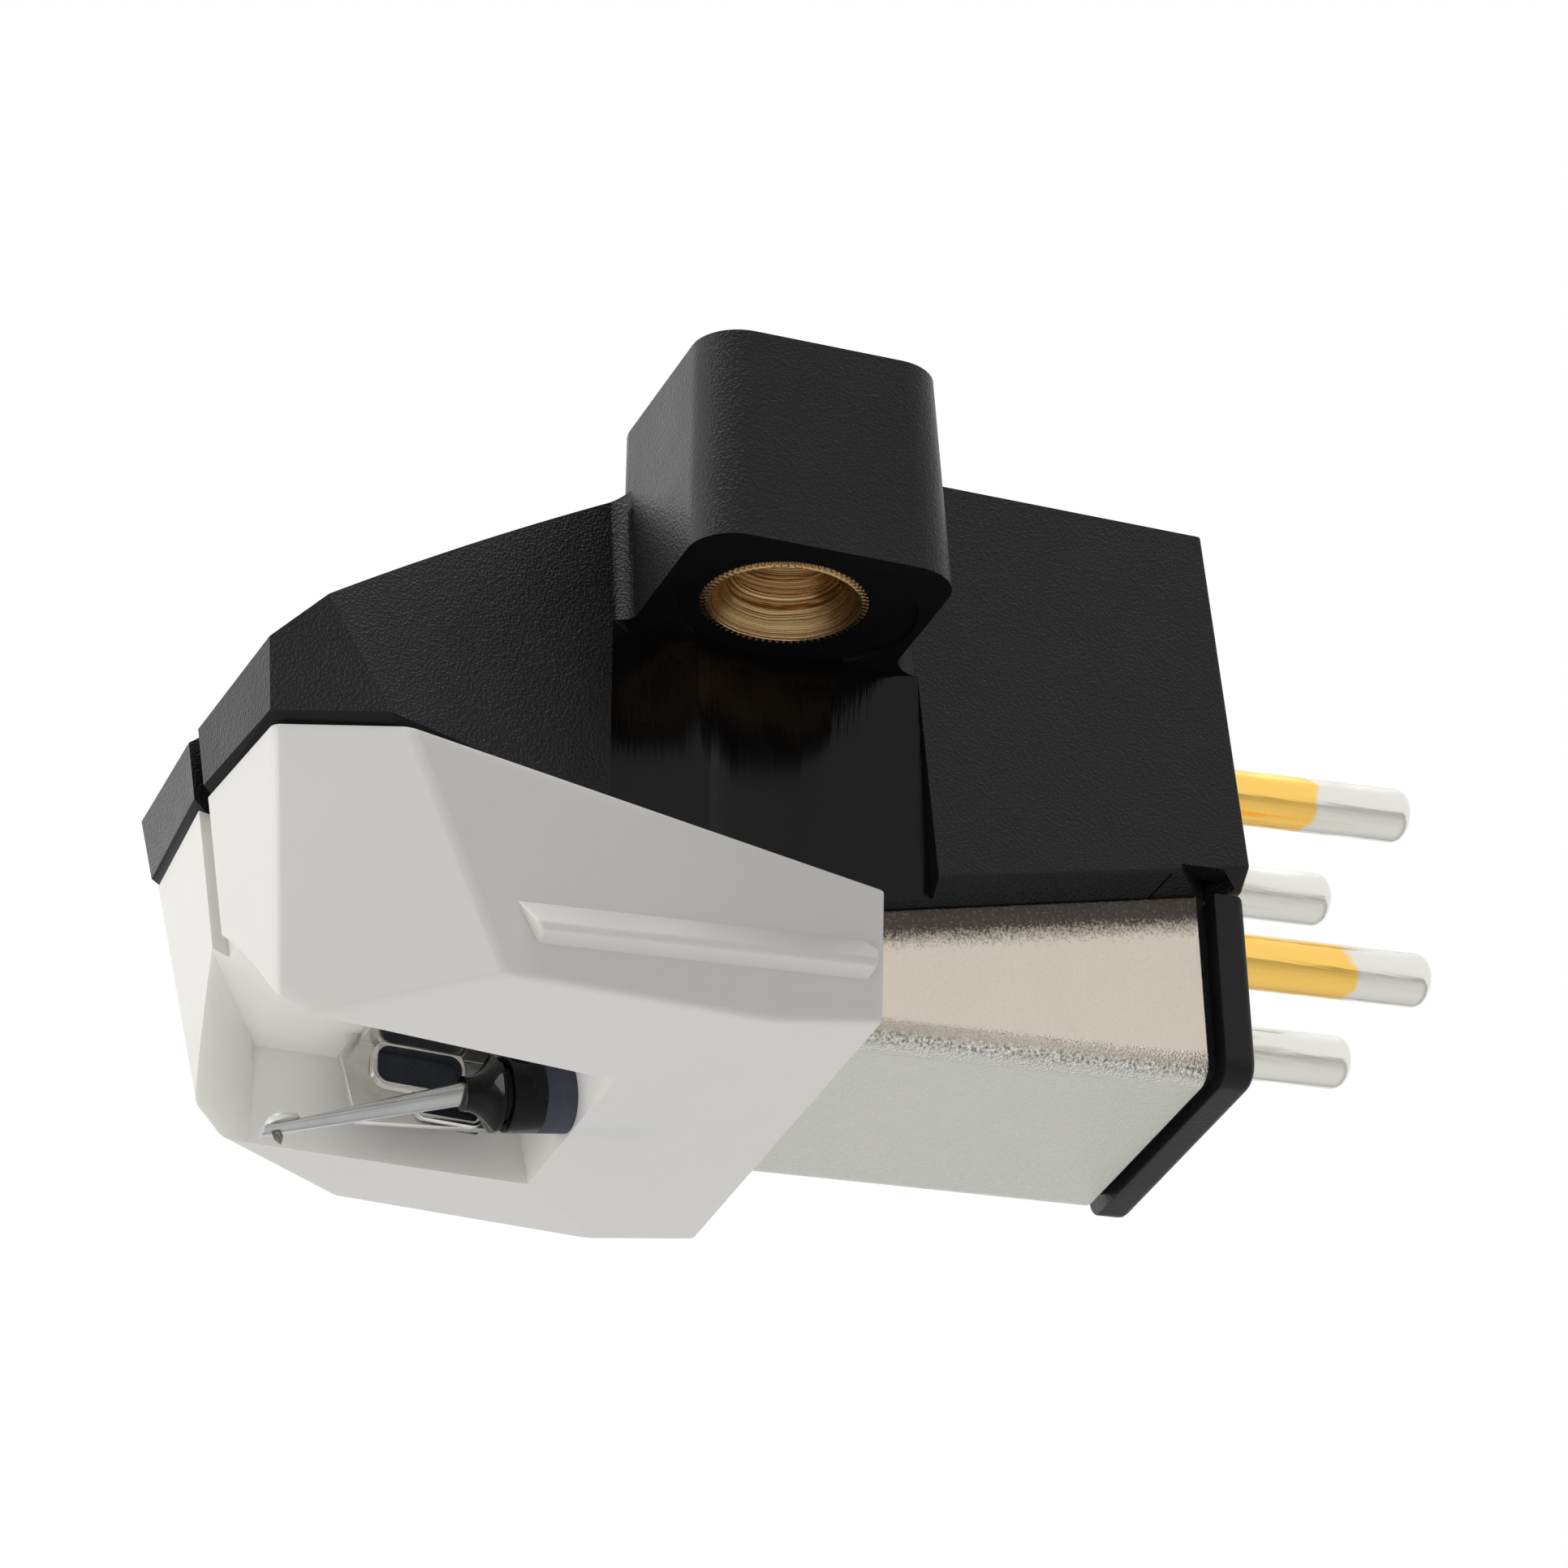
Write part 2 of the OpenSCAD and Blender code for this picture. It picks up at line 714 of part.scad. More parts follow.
// The opening under the stylus: a notch through the front facets that widens into a roomy slot
module stylus_opening() {
    notch_front = ceiling_front + 1.82;
    along_y(-far / 2, -notch_front)
        notch_outline(groove_w / 2, notch_depth);
    hull() {
        along_y(-notch_front - 0.02, -notch_front)
            notch_outline(groove_w / 2, notch_depth);
        along_y(-ceiling_front - 0.02, -ceiling_front)
            notch_outline(open_half_front - 0.03, ceiling_depth);
    }
    difference() {
        translate([0, 0, -far])
            linear_extrude(far - ceiling_depth)
                polygon([
                    [-open_half_front, -ceiling_front - 0.01], [open_half_front, -ceiling_front - 0.01],
                    [open_half_back, -open_back], [-open_half_back, -open_back]
                ]);
        beyond(plane_at(90, 11, [0, -open_back, -holder_depth]));
    }
}

// The space behind the opening's rear wall: the magnets' room and the channel for the can
module generator_channel() {
    in_generator() {
        translate([-2, room_front, room_floor])
            cube([4, -can_front - room_front + 1, far]);
        translate([0, -can_front - holder_gap, 0])
            along_y(0, far)
                can_outline(can_half_w + holder_gap, can_depth + holder_gap, can_bend);
        translate([-can_half_w - holder_gap, -can_front - holder_gap, -can_top - 2])
            cube([2 * (can_half_w + holder_gap), far, far]);
    }
}

module stylus_holder() {
    color([0.8, 0.79, 0.76])
        difference() {
            union() {
                difference() {
                    translate([-holder_half_w, -far / 2, -holder_depth])
                        cube([2 * holder_half_w, far / 2 + holder_back, holder_depth]);
                    both() beyond(front_plane);
                    both() beyond(corner_plane);
                }
                both() grip_bar();
            }
            beyond(holder_top);
            both() beyond(belly_plane);
            beyond(rear_panel);
            nose_groove(0);
            stylus_opening();
            generator_channel();
            in_suspension()
                rotate([-90, 0, 0])
                    cylinder(r = sleeve_r, h = 3);
        }
}

// A stamped bracket: a ceiling strip and a side plate with two windows in it
module bracket() {
    color([0.8, 0.8, 0.79])
        difference() {
            union() {
                translate([-bracket_half_w, 0.1 - bracket_front, -ceiling_depth - bracket_t])
                    cube([2 * bracket_half_w - 0.6, bracket_front - 0.1 - bracket_back, bracket_t]);
                translate([-bracket_half_w, 0, 0])
                    rotate([90, 0, 90])
                        linear_extrude(bracket_t)
                            polygon([
                                [-bracket_front, -ceiling_depth],
                                [-bracket_front - 0.35, -ceiling_depth - 0.55],
                                [0.1 - bracket_front, bracket_foot - holder_depth],
                                [-bracket_back, 2.5 * bracket_foot - holder_depth],
                                [-bracket_back, -ceiling_depth]
                            ]);
                translate([-bracket_half_w, 0, 0])
                    rotate([90, 0, 90])
                        linear_extrude(bracket_t + rim_out)
                            bracket_windows(rim_w);
            }
            translate([-bracket_half_w - 1, 0, 0])
                rotate([90, 0, 90])
                    linear_extrude(1.5)
                        bracket_windows(0);
        }
}

module bracket_windows(rim) {
    translate([0.5 - bracket_front, -ceiling_depth - window_h - 0.25])
        round_window(window_len, window_h, window_h / 3, rim);
    translate([1.55 - bracket_front, -holder_depth + 2.37 * bracket_foot])
        round_window(slit_len, slit_h, slit_h / 3, rim);
}

module round_window(w, h, r, rim) {
    for (x = [r, w - r], y = [r, h - r])
        translate([x, y])
            circle(r + rim);
    translate([-rim, r])
        square([w + 2 * rim, h - 2 * r]);
    translate([r, -rim])
        square([w - 2 * r, h + 2 * rim]);
}

module tube_between(y0, y1, outer, inner) {
    translate([0, y0, 0])
        rotate([-90, 0, 0])
            difference() {
                cylinder(r = outer, h = y1 - y0);
                translate([0, 0, -1])
                    cylinder(r = inner, h = y1 - y0 + 2);
            }
}

module suspension_sleeve() {
    color([0.04, 0.04, 0.045])
        in_suspension()
            tube_between(-sleeve_front, sleeve_back, sleeve_r, sleeve_bore);
}

module sleeve_plug() {
    color([0.16, 0.17, 0.19])
        in_suspension()
            tube_between(sleeve_back, plug_back, sleeve_r, sleeve_bore);
}

module damper_ring() {
    color([0.08, 0.08, 0.08])
        in_suspension()
            tube_between(-hub_back, sleeve_back - 0.1, damper_r, rod_r + 0.02);
}

// A point of the hub's bell, from its rim (0) to its neck (1)
bell_steps = 10;
function bell_point(t) = [
    neck_r + (hub_r - neck_r) * pow(1 - t, 2.6),
    hub_back + hub_rim + (hub_front - hub_back - hub_rim) * t
];

// The hub flares from the cantilever to its rim like a bell
module armature_hub() {
    color([0.03, 0.03, 0.035])
        in_suspension()
            difference() {
                rotate([90, 0, 0])
                    rotate_extrude()
                        polygon(concat(
                            [[0, hub_front], [0, hub_back], [hub_r, hub_back]],
                            [for (i = [0:bell_steps]) bell_point(i / bell_steps)]
                        ));
                translate([0, -hub_front, 0])
                    rotate([tube_fall - arm_tilt - 90, 0, 0])
                        translate([0, 0, -1])
                            cylinder(r = tube_r, h = 1 + tube_seat);
            }
}

module armature_rod() {
    color([0.7, 0.7, 0.7])
        in_suspension()
            tube_between(-hub_back, rod_back, rod_r, wire_r + 0.03);
}

module suspension_wire() {
    color([0.6, 0.6, 0.6])
        in_suspension()
            rotate([-90, 0, 0])
                cylinder(r = wire_r, h = wire_back);
}

module magnet() {
    color([0.35, 0.35, 0.37])
        in_suspension()
            rotate([0, magnet_lean, 0])
                translate([-magnet_t / 2, rod_back - 0.6, rod_r])
                    cube([magnet_t, magnet_t, magnet_out - rod_r]);
}

// A round tube whose end is squeezed flat to carry the stylus
module cantilever() {
    color([0.8, 0.8, 0.82])
        in_tube() {
            tube_between(-tube_len, tube_seat, tube_r, tube_r - tube_wall);
            hull() {
                tube_between(-tube_len, 0.01 - tube_len, tube_r, 0);
                translate([-flat_w / 2, -tube_len - squeeze_len, -flat_t / 2])
                    cube([flat_w, 0.01, flat_t]);
            }
            translate([-flat_w / 2, -tip_end, -flat_t / 2])
                cube([flat_w, flat_len, flat_t]);
        }
}

// The bead of adhesive that covers the stylus' upper end
module tip_bond() {
    color([0.75, 0.75, 0.7])
        in_tube()
            translate([0, flat_len / 2 - tip_end, flat_t / 2])
                difference() {
                    sphere(r = bead_r);
                    translate([-1, -1, -2])
                        cube([2, 2, 2]);
                }
}

module stylus_tip() {
    color([0.3, 0.28, 0.25])
        in_tube()
            translate([0, flat_len / 2 - tip_end, -flat_t / 2])
                rotate([180, 0, 0])
                    rotate_extrude()
                        polygon([
                            [0, 0], [shank_r, 0], [shank_r, 0.45 * stylus_len],
                            [0.02, stylus_len], [0, stylus_len]
                        ]);
}

body_shell();
mirror([1, 0, 0]) thread_insert();  // insert_left
thread_insert();  // insert_right
shield_can();
rear_plate();
terminal_block();
mirror([1, 0, 0]) upper_pin();  // pin_left_upper
upper_pin();  // pin_right_upper
mirror([1, 0, 0]) lower_pin();  // pin_left_lower
lower_pin();  // pin_right_lower
screen_plate();
mirror([1, 0, 0]) pole();  // pole_left
pole();  // pole_right
mirror([1, 0, 0]) coil();  // coil_left
coil();  // coil_right
stylus_holder();
bracket();
suspension_sleeve();
sleeve_plug();
damper_ring();
suspension_wire();
armature_hub();
armature_rod();
mirror([1, 0, 0]) magnet();  // magnet_left
magnet();  // magnet_right
cantilever();
tip_bond();
stylus_tip();
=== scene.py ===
# %% [markdown]
# This lesson dresses a phono cartridge, the small pickup that sits at the end of a turntable's
# arm. The imported CAD model gives every piece its true place. Here the visible pieces are
# modelled again with softened edges and get the finish of moulded plastic, brass, steel and
# gold. The first step is to load the imported part.

# %% Load the imported part
import math

import bmesh
import bpy
from mathutils import Matrix, Vector


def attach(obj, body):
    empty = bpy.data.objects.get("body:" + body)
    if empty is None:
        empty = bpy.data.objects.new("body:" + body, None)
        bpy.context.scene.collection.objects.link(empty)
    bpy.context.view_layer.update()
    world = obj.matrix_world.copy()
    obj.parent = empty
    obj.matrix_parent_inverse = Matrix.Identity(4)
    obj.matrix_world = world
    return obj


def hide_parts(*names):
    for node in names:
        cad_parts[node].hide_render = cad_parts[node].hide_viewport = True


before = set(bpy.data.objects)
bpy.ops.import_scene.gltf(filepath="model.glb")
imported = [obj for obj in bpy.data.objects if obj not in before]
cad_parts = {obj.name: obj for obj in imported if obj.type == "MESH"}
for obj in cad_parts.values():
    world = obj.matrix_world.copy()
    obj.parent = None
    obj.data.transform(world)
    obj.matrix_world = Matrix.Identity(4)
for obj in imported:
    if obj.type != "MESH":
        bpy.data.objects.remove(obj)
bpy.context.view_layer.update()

# %% [markdown]
# The photograph looks up at the cartridge from its right side, a little from the nose. Its
# lens is long, so the edges hardly converge. The camera's place and turn were worked out from
# the part's straight edges and from the half-inch distance between its screws, so here they
# are plain numbers: a place in millimetres, a direction, a small roll and the focal length.

# %% The photograph's camera
MM = 0.001
photo_pixels = 1932
focal_pixels = 12000
sensor_width = 36
camera_place = Vector((186.67, -64.97, -109.41)) * MM
camera_turn = math.radians(70.165)
camera_rise = math.radians(-27.498)
camera_roll = math.radians(1.102)

back = Vector((
    math.sin(camera_turn) * math.cos(camera_rise),
    -math.cos(camera_turn) * math.cos(camera_rise),
    math.sin(camera_rise),
))
level_right = Vector((math.cos(camera_turn), math.sin(camera_turn), 0))
level_up = back.cross(level_right)
right = level_right * math.cos(camera_roll) + level_up * math.sin(camera_roll)
up = level_up * math.cos(camera_roll) - level_right * math.sin(camera_roll)
camera_axes = Matrix((right, up, back)).transposed().to_4x4()

camera_data = bpy.data.cameras.new("photo_camera")
camera_data.sensor_width = sensor_width
camera_data.lens = sensor_width * focal_pixels / photo_pixels
camera_data.clip_start = 0.01
camera = bpy.data.objects.new("photo_camera", camera_data)
camera.matrix_world = Matrix.Translation(camera_place) @ camera_axes
bpy.context.scene.collection.objects.link(camera)
bpy.context.scene.camera = camera
bpy.context.scene.view_settings.view_transform = "Standard"
print("lens in mm:", round(camera_data.lens, 1))

# %% [markdown]
# The part is only 29 mm long, and Blender's edit tools like bigger numbers. So every new piece
# is modelled in millimetres, one Blender unit for one millimetre, and shrunk to metres when it
# is finished. These helpers do what a hand does in the viewport: select, slice, round an edge,
# cut one piece with another.

# %% Select, box and rod
def clear_selection():
    """Leaves Edit Mode and deselects every object."""
    if bpy.context.object and bpy.context.object.mode != "OBJECT":
        bpy.ops.object.mode_set(mode="OBJECT")
    bpy.ops.object.select_all(action="DESELECT")


def only(piece):
    """Leaves just this object selected and active."""
    clear_selection()
    piece.select_set(True)
    bpy.context.view_layer.objects.active = piece


def move_to(piece, place):
    """Moves a shape made about the origin, and applies the move."""
    only(piece)
    piece.location = place
    bpy.ops.object.transform_apply()


def block(name, low, high):
    """A box between two corners, in millimetres."""
    clear_selection()
    low, high = Vector(low), Vector(high)
    bpy.ops.mesh.primitive_cube_add(size=1, location=(low + high) / 2)
    piece = bpy.context.object
    piece.name = name
    piece.scale = high - low
    bpy.ops.object.transform_apply()
    return piece


def rod(name, radius, start, end, sides=64):
    """A round bar between two points."""
    clear_selection()
    start, end = Vector(start), Vector(end)
    bpy.ops.mesh.primitive_cylinder_add(
        vertices=sides, radius=radius, depth=(end - start).length, location=(start + end) / 2
    )
    piece = bpy.context.object
    piece.name = name
    piece.rotation_euler = (end - start).to_track_quat("Z", "Y").to_euler()
    bpy.ops.object.transform_apply()
    return piece


print("primitives ready")

# %% [markdown]
# Most faces of this cartridge are flat, so a face is named by a plane: the way it looks and its
# distance from the origin. A block is sliced with such planes like a bar of soap with a wire.
# The Bisect tool does that and closes each cut. Slicing keeps every face truly flat, which
# pushing single corners about would not.


# %% Planes, slices and rounded edges
def direction(turn, rise):
    turn, rise = math.radians(turn), math.radians(rise)
    flat = math.cos(rise)
    return Vector((flat * math.cos(turn), flat * math.sin(turn), math.sin(rise)))


def plane_of(turn, rise, distance):
    return direction(turn, rise), distance


def plane_through(normal, point):
    return normal, normal.dot(Vector(point))


def plane_at(turn, rise, point):
    return plane_through(direction(turn, rise), point)


def both(plane):
    """A plane and its mirror image on the other side."""
    normal, distance = plane
    return [plane, (Vector((-normal.x, normal.y, normal.z)), distance)]


def off_plane(point, plane):
    """How far a point lies from a plane."""
    normal, distance = plane
    return abs(normal.dot(point) - distance) / normal.length


def slice_off(piece, planes):
    """Cuts away what lies beyond each plane, and closes the cut."""
    only(piece)
    bpy.ops.object.mode_set(mode="EDIT")
    for normal, distance in planes:
        size = normal.length
        bpy.ops.mesh.select_all(action="SELECT")
        bpy.ops.mesh.bisect(
            plane_co=normal * distance / size**2, plane_no=normal / size,
            use_fill=True, clear_outer=True, threshold=1e-5,
        )
    bpy.ops.object.mode_set(mode="OBJECT")


def choose(piece, kind, wanted):
    """In Edit Mode, selects the corners, edges or faces that wanted says yes to."""
    bpy.ops.mesh.select_mode(type=kind)
    bpy.ops.mesh.select_all(action="DESELECT")
    mesh = bmesh.from_edit_mesh(piece.data)
    elements = {"VERT": mesh.verts, "EDGE": mesh.edges, "FACE": mesh.faces}[kind]
    chosen = [element for element in elements if wanted(element)]
    for element in chosen:
        element.select_set(True)
    bmesh.update_edit_mesh(piece.data)
    return len(chosen)


def sharp(edge, degrees=12):
    return len(edge.link_faces) == 2 and edge.calc_face_angle(0) > math.radians(degrees)


def round_edges(piece, width, pick, segments=3):
    """Rounds the sharp edges that pick chooses by their middle point."""
    only(piece)
    bpy.ops.object.mode_set(mode="EDIT")
    count = choose(
        piece, "EDGE",
        lambda edge: sharp(edge) and pick((edge.verts[0].co + edge.verts[1].co) / 2, edge),
    )
    if count:
        bpy.ops.mesh.bevel(offset=width, segments=segments, affect="EDGES", clamp_overlap=True)
    bpy.ops.object.mode_set(mode="OBJECT")
    print(f"{piece.name}: {count} edges rounded")


def merge_close(piece, distance):
    """Joins corners that almost coincide, as narrow slivers upset the Boolean modifier."""
    only(piece)
    bpy.ops.object.mode_set(mode="EDIT")
    bpy.ops.mesh.select_all(action="SELECT")
    bpy.ops.mesh.remove_doubles(threshold=distance)
    bpy.ops.object.mode_set(mode="OBJECT")


print("slicing ready")

# %% [markdown]
# Solids are joined and cut with the Boolean modifier, which is applied at once. Shapes are
# modelled upright at the origin and turned afterwards, because upright shapes are easy to
# describe. Round parts come from a small lathe: one ring is extruded and scaled again and
# again, just as a turning tool walks along the work.


# %% Join, turn, mirror and lathe
def combine(piece, other, how="DIFFERENCE"):
    """Cuts, joins or intersects with another piece, which is used up."""
    only(piece)
    tool = piece.modifiers.new("fit", "BOOLEAN")
    tool.operation = how
    tool.solver = "EXACT"
    tool.object = other
    bpy.ops.object.modifier_apply(modifier=tool.name)
    bpy.data.objects.remove(other)


def turn_about(piece, degrees, axis="X"):
    """Turns a finished shape about an axis through the origin."""
    only(piece)
    piece.matrix_world = Matrix.Rotation(math.radians(degrees), 4, axis)
    bpy.ops.object.transform_apply()


def face_outwards():
    """Turns all faces of the open piece outwards and leaves Edit Mode."""
    bpy.ops.mesh.select_all(action="SELECT")
    bpy.ops.mesh.normals_make_consistent(inside=False)
    bpy.ops.object.mode_set(mode="OBJECT")


def mirrored_copy(piece, name):
    """The same shape on the other side, with its faces turned the right way again."""
    only(piece)
    bpy.ops.object.duplicate()
    other = bpy.context.object
    other.name = name
    other.scale.x = -1
    bpy.ops.object.transform_apply()
    bpy.ops.object.mode_set(mode="EDIT")
    face_outwards()
    return other


def combine_both(piece, other, how="DIFFERENCE"):
    """Combines with another piece's mirror image and then with the piece itself."""
    combine(piece, mirrored_copy(other, other.name + "_left"), how)
    combine(piece, other, how)


def turned(name, outline, sides=64, close=True):
    """A lathe shape about Z: rings are extruded one by one from the first to the last."""
    clear_selection()
    radius, height = outline[0]
    bpy.ops.mesh.primitive_circle_add(vertices=sides, radius=radius, location=(0, 0, height))
    piece = bpy.context.object
    piece.name = name
    bpy.ops.object.transform_apply()
    bpy.ops.object.mode_set(mode="EDIT")
    bpy.ops.mesh.select_mode(type="EDGE")
    bpy.ops.mesh.select_all(action="SELECT")
    for next_radius, next_height in outline[1:]:
        bpy.ops.mesh.extrude_edges_move(
            TRANSFORM_OT_translate={"value": (0, 0, next_height - height)}
        )
        share = next_radius / radius
        bpy.ops.transform.resize(value=(share, share, 1), center_override=(0, 0, next_height))
        radius, height = next_radius, next_height
    bpy.ops.mesh.select_all(action="SELECT")
    if close:
        bpy.ops.mesh.region_to_loop()
        bpy.ops.mesh.edge_face_add()
        bpy.ops.mesh.select_all(action="SELECT")
    bpy.ops.mesh.remove_doubles(threshold=1e-5)
    face_outwards()
    return piece


def tube_of(name, outline, sides=64):
    """A lathe shape whose first and last rings are joined, which makes it a tube."""
    piece = turned(name, outline, sides, close=False)
    bpy.ops.object.mode_set(mode="EDIT")
    bpy.ops.mesh.select_all(action="SELECT")
    bpy.ops.mesh.region_to_loop()
    bpy.ops.mesh.bridge_edge_loops()
    face_outwards()
    return piece


def arc(centre, radius, height, first, last, step):
    """Points of a lathe outline on an ellipse, from one angle in degrees to another."""
    turns = [math.radians(degrees) for degrees in range(first, last, step)]
    across, along = centre
    return [(across + radius * math.cos(a), along + height * math.sin(a)) for a in turns]


print("lathe ready")

# %% [markdown]
# A finished piece is shrunk to metres, smoothed where its faces meet softly, and told which
# moving body it rides on and which finish it has; the CAD nodes it stands for are hidden. One
# function does this for every piece, so that none of it is forgotten.


# %% Finish a piece
def copy_of_node(node, name):
    """A CAD node's shape as one closed mesh in millimetres, flat faces in one piece."""
    clear_selection()
    piece = bpy.data.objects.new(name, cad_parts[node].data.copy())
    bpy.context.scene.collection.objects.link(piece)
    only(piece)
    piece.scale = (1 / MM,) * 3
    bpy.ops.object.transform_apply()
    bpy.ops.object.mode_set(mode="EDIT")
    bpy.ops.mesh.select_all(action="SELECT")
    bpy.ops.mesh.remove_doubles(threshold=1e-4)
    bpy.ops.mesh.dissolve_limited(angle_limit=math.radians(1))
    bpy.ops.object.mode_set(mode="OBJECT")
    return piece


def settle(piece, body, slot, material, *nodes, smooth=40):
    """Shrinks a finished piece to metres, smooths it and gives it its place, finish and body."""
    only(piece)
    piece.scale = (MM,) * 3
    bpy.ops.object.transform_apply()
    bpy.ops.object.shade_smooth_by_angle(angle=math.radians(smooth))
    tool = piece.modifiers.new("flat_faces_stay_flat", "WEIGHTED_NORMAL")
    tool.keep_sharp = True
    bpy.ops.object.modifier_apply(modifier=tool.name)
    piece.data.materials.clear()
    piece.data.materials.append(material)
    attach(piece, body)
    if nodes:
        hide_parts(*nodes)
    print(f"{piece.name}: {len(piece.data.polygons)} faces on {body}")


print("finishing ready")

# %% [markdown]
# Several finishes share the same fine effects: the grain of a moulding, the soft unevenness of
# a surface, the drawn streaks of metal. Each effect is a node group with named inputs, built
# once and used with its own values in every material. The groups read Object coordinates,
# so a pattern stays put when the piece moves.

# %% Node group helpers
def new_group(name, inputs, outputs):
    group = bpy.data.node_groups.new(name, "ShaderNodeTree")
    for socket, value in inputs:
        made = group.interface.new_socket(socket, in_out="INPUT", socket_type="NodeSocketFloat")
        made.default_value = value
    for socket in outputs:
        group.interface.new_socket(socket, in_out="OUTPUT", socket_type="NodeSocketFloat")
    return group, group.nodes.new("NodeGroupInput"), group.nodes.new("NodeGroupOutput")


def feed(tree, socket, value):
    """Links a socket to another one, or gives it a plain value."""
    if isinstance(value, bpy.types.NodeSocket):
        tree.links.new(value, socket)
    else:
        socket.default_value = value


def maths(tree, operation, *values):
    """A Math node fed by sockets or plain numbers."""
    node = tree.nodes.new("ShaderNodeMath")
    node.operation = operation
    for socket, value in zip(node.inputs, values):
        feed(tree, socket, value)
    return node.outputs[0]


def noise(tree, scale, detail=2.0, roughness=0.5, coordinates=None, stretch=None):
    """A Noise node on Object coordinates, stretched where asked."""
    node = tree.nodes.new("ShaderNodeTexNoise")
    feed(tree, node.inputs["Scale"], scale)
    node.inputs["Detail"].default_value = detail
    node.inputs["Roughness"].default_value = roughness
    coordinates = coordinates or object_coordinates(tree)
    if stretch:
        mapping = tree.nodes.new("ShaderNodeMapping")
        mapping.inputs["Scale"].default_value = stretch
        tree.links.new(coordinates, mapping.inputs["Vector"])
        coordinates = mapping.outputs["Vector"]
    tree.links.new(coordinates, node.inputs["Vector"])
    return node.outputs["Fac"]


def object_coordinates(tree):
    return tree.nodes.new("ShaderNodeTexCoord").outputs["Object"]


def parts_of(tree, vector):
    """The sockets X, Y and Z of a vector."""
    node = tree.nodes.new("ShaderNodeSeparateXYZ")
    tree.links.new(vector, node.inputs[0])
    return node.outputs


def ramp(tree, value, start, end, low=0.0, high=1.0, kind="LINEAR"):
    """Maps a value from one range to another, and clamps it there."""
    node = tree.nodes.new("ShaderNodeMapRange")
    node.interpolation_type = kind
    node.inputs["From Min"].default_value = start
    node.inputs["From Max"].default_value = end
    feed(tree, node.inputs["To Min"], low)
    feed(tree, node.inputs["To Max"], high)
    tree.links.new(value, node.inputs["Value"])
    return node.outputs["Result"]


def blend(tree, factor, first, second):
    """Mixes two colours, each a plain tone or a socket."""
    mix = tree.nodes.new("ShaderNodeMix")
    mix.data_type = "RGBA"
    tree.links.new(factor, mix.inputs["Factor"])
    for name, tone in (("A", first), ("B", second)):
        plain = isinstance(tone, (tuple, list))
        feed(tree, mix.inputs[name], (*tone, 1) if plain else tone)
    return mix.outputs["Result"]


print("node helpers ready")

# %% [markdown]
# An injection mould for technical parts is usually spark-eroded, which leaves a fine even
# grain on the plastic. A smooth Voronoi pattern gives the soft pits and a finer noise the haze
# on top. An image texture would do the same, but a pattern in the shader is sharp at any size.


# %% The moulded grain
def build_moulded_grain():
    """The spark-eroded grain of an injection mould: small soft pits with a fine haze on top."""
    group, given, made = new_group("moulded_grain", [("Grains per metre", 9000.0)], ["Height"])
    coordinates = object_coordinates(group)
    grains = given.outputs["Grains per metre"]
    cells = group.nodes.new("ShaderNodeTexVoronoi")
    cells.feature = "SMOOTH_F1"
    cells.inputs["Smoothness"].default_value = 0.6
    group.links.new(coordinates, cells.inputs["Vector"])
    group.links.new(grains, cells.inputs["Scale"])
    haze = noise(group, maths(group, "MULTIPLY", grains, 1.7), 3.0, 0.6, coordinates)
    height = maths(group, "ADD", cells.outputs["Distance"], maths(group, "MULTIPLY", haze, 0.7))
    group.links.new(height, made.inputs["Height"])
    return group


moulded_grain = build_moulded_grain()
print("group:", moulded_grain.name)

# %% [markdown]
# No real surface is perfectly even: it is touched, stored and wiped. A slow noise, mapped
# between two values, makes the tone or the gloss drift a little. Every material uses it with
# its own two values, so one group serves them all.


# %% The cloudy unevenness
def build_cloudiness():
    """A slow drift of tone or gloss, as every real surface has."""
    group, given, made = new_group(
        "cloudiness", [("Clouds per metre", 400.0), ("Low", 0.4), ("High", 0.6)], ["Value"]
    )
    cloud = noise(group, given.outputs["Clouds per metre"], 4.0, 0.6)
    spread = ramp(group, cloud, 0.3, 0.7, given.outputs["Low"], given.outputs["High"])
    group.links.new(spread, made.inputs["Value"])
    return group


cloudiness = build_cloudiness()
print("group:", cloudiness.name)

# %% [markdown]
# Drawn wire, bent sheet and polished pins carry streaks along their length. The same noise as
# before does this when it is stretched a lot in one direction. The pins and the tube lie along
# Y here, so the noise is stretched along Y.


# %% The drawn streaks
def build_drawn_streaks():
    """Fine streaks along Y, from drawing or polishing the metal."""
    group, given, made = new_group("drawn_streaks", [("Streaks per metre", 12000.0)], ["Height"])
    streak = noise(group, given.outputs["Streaks per metre"], 2.0, 0.5, stretch=(1, 0.06, 1))
    group.links.new(streak, made.inputs["Height"])
    return group


drawn_streaks = build_drawn_streaks()
print("group:", drawn_streaks.name)

# %% [markdown]
# A brass insert comes from a lathe, and its cone shows the rings that the tool left. The
# distance from the insert's axis is worked out from the coordinates, and a noise along this
# distance alone gives rings of uneven depth. A little wobble keeps them from looking printed.


# %% The turning rings
screw_x = 6.35


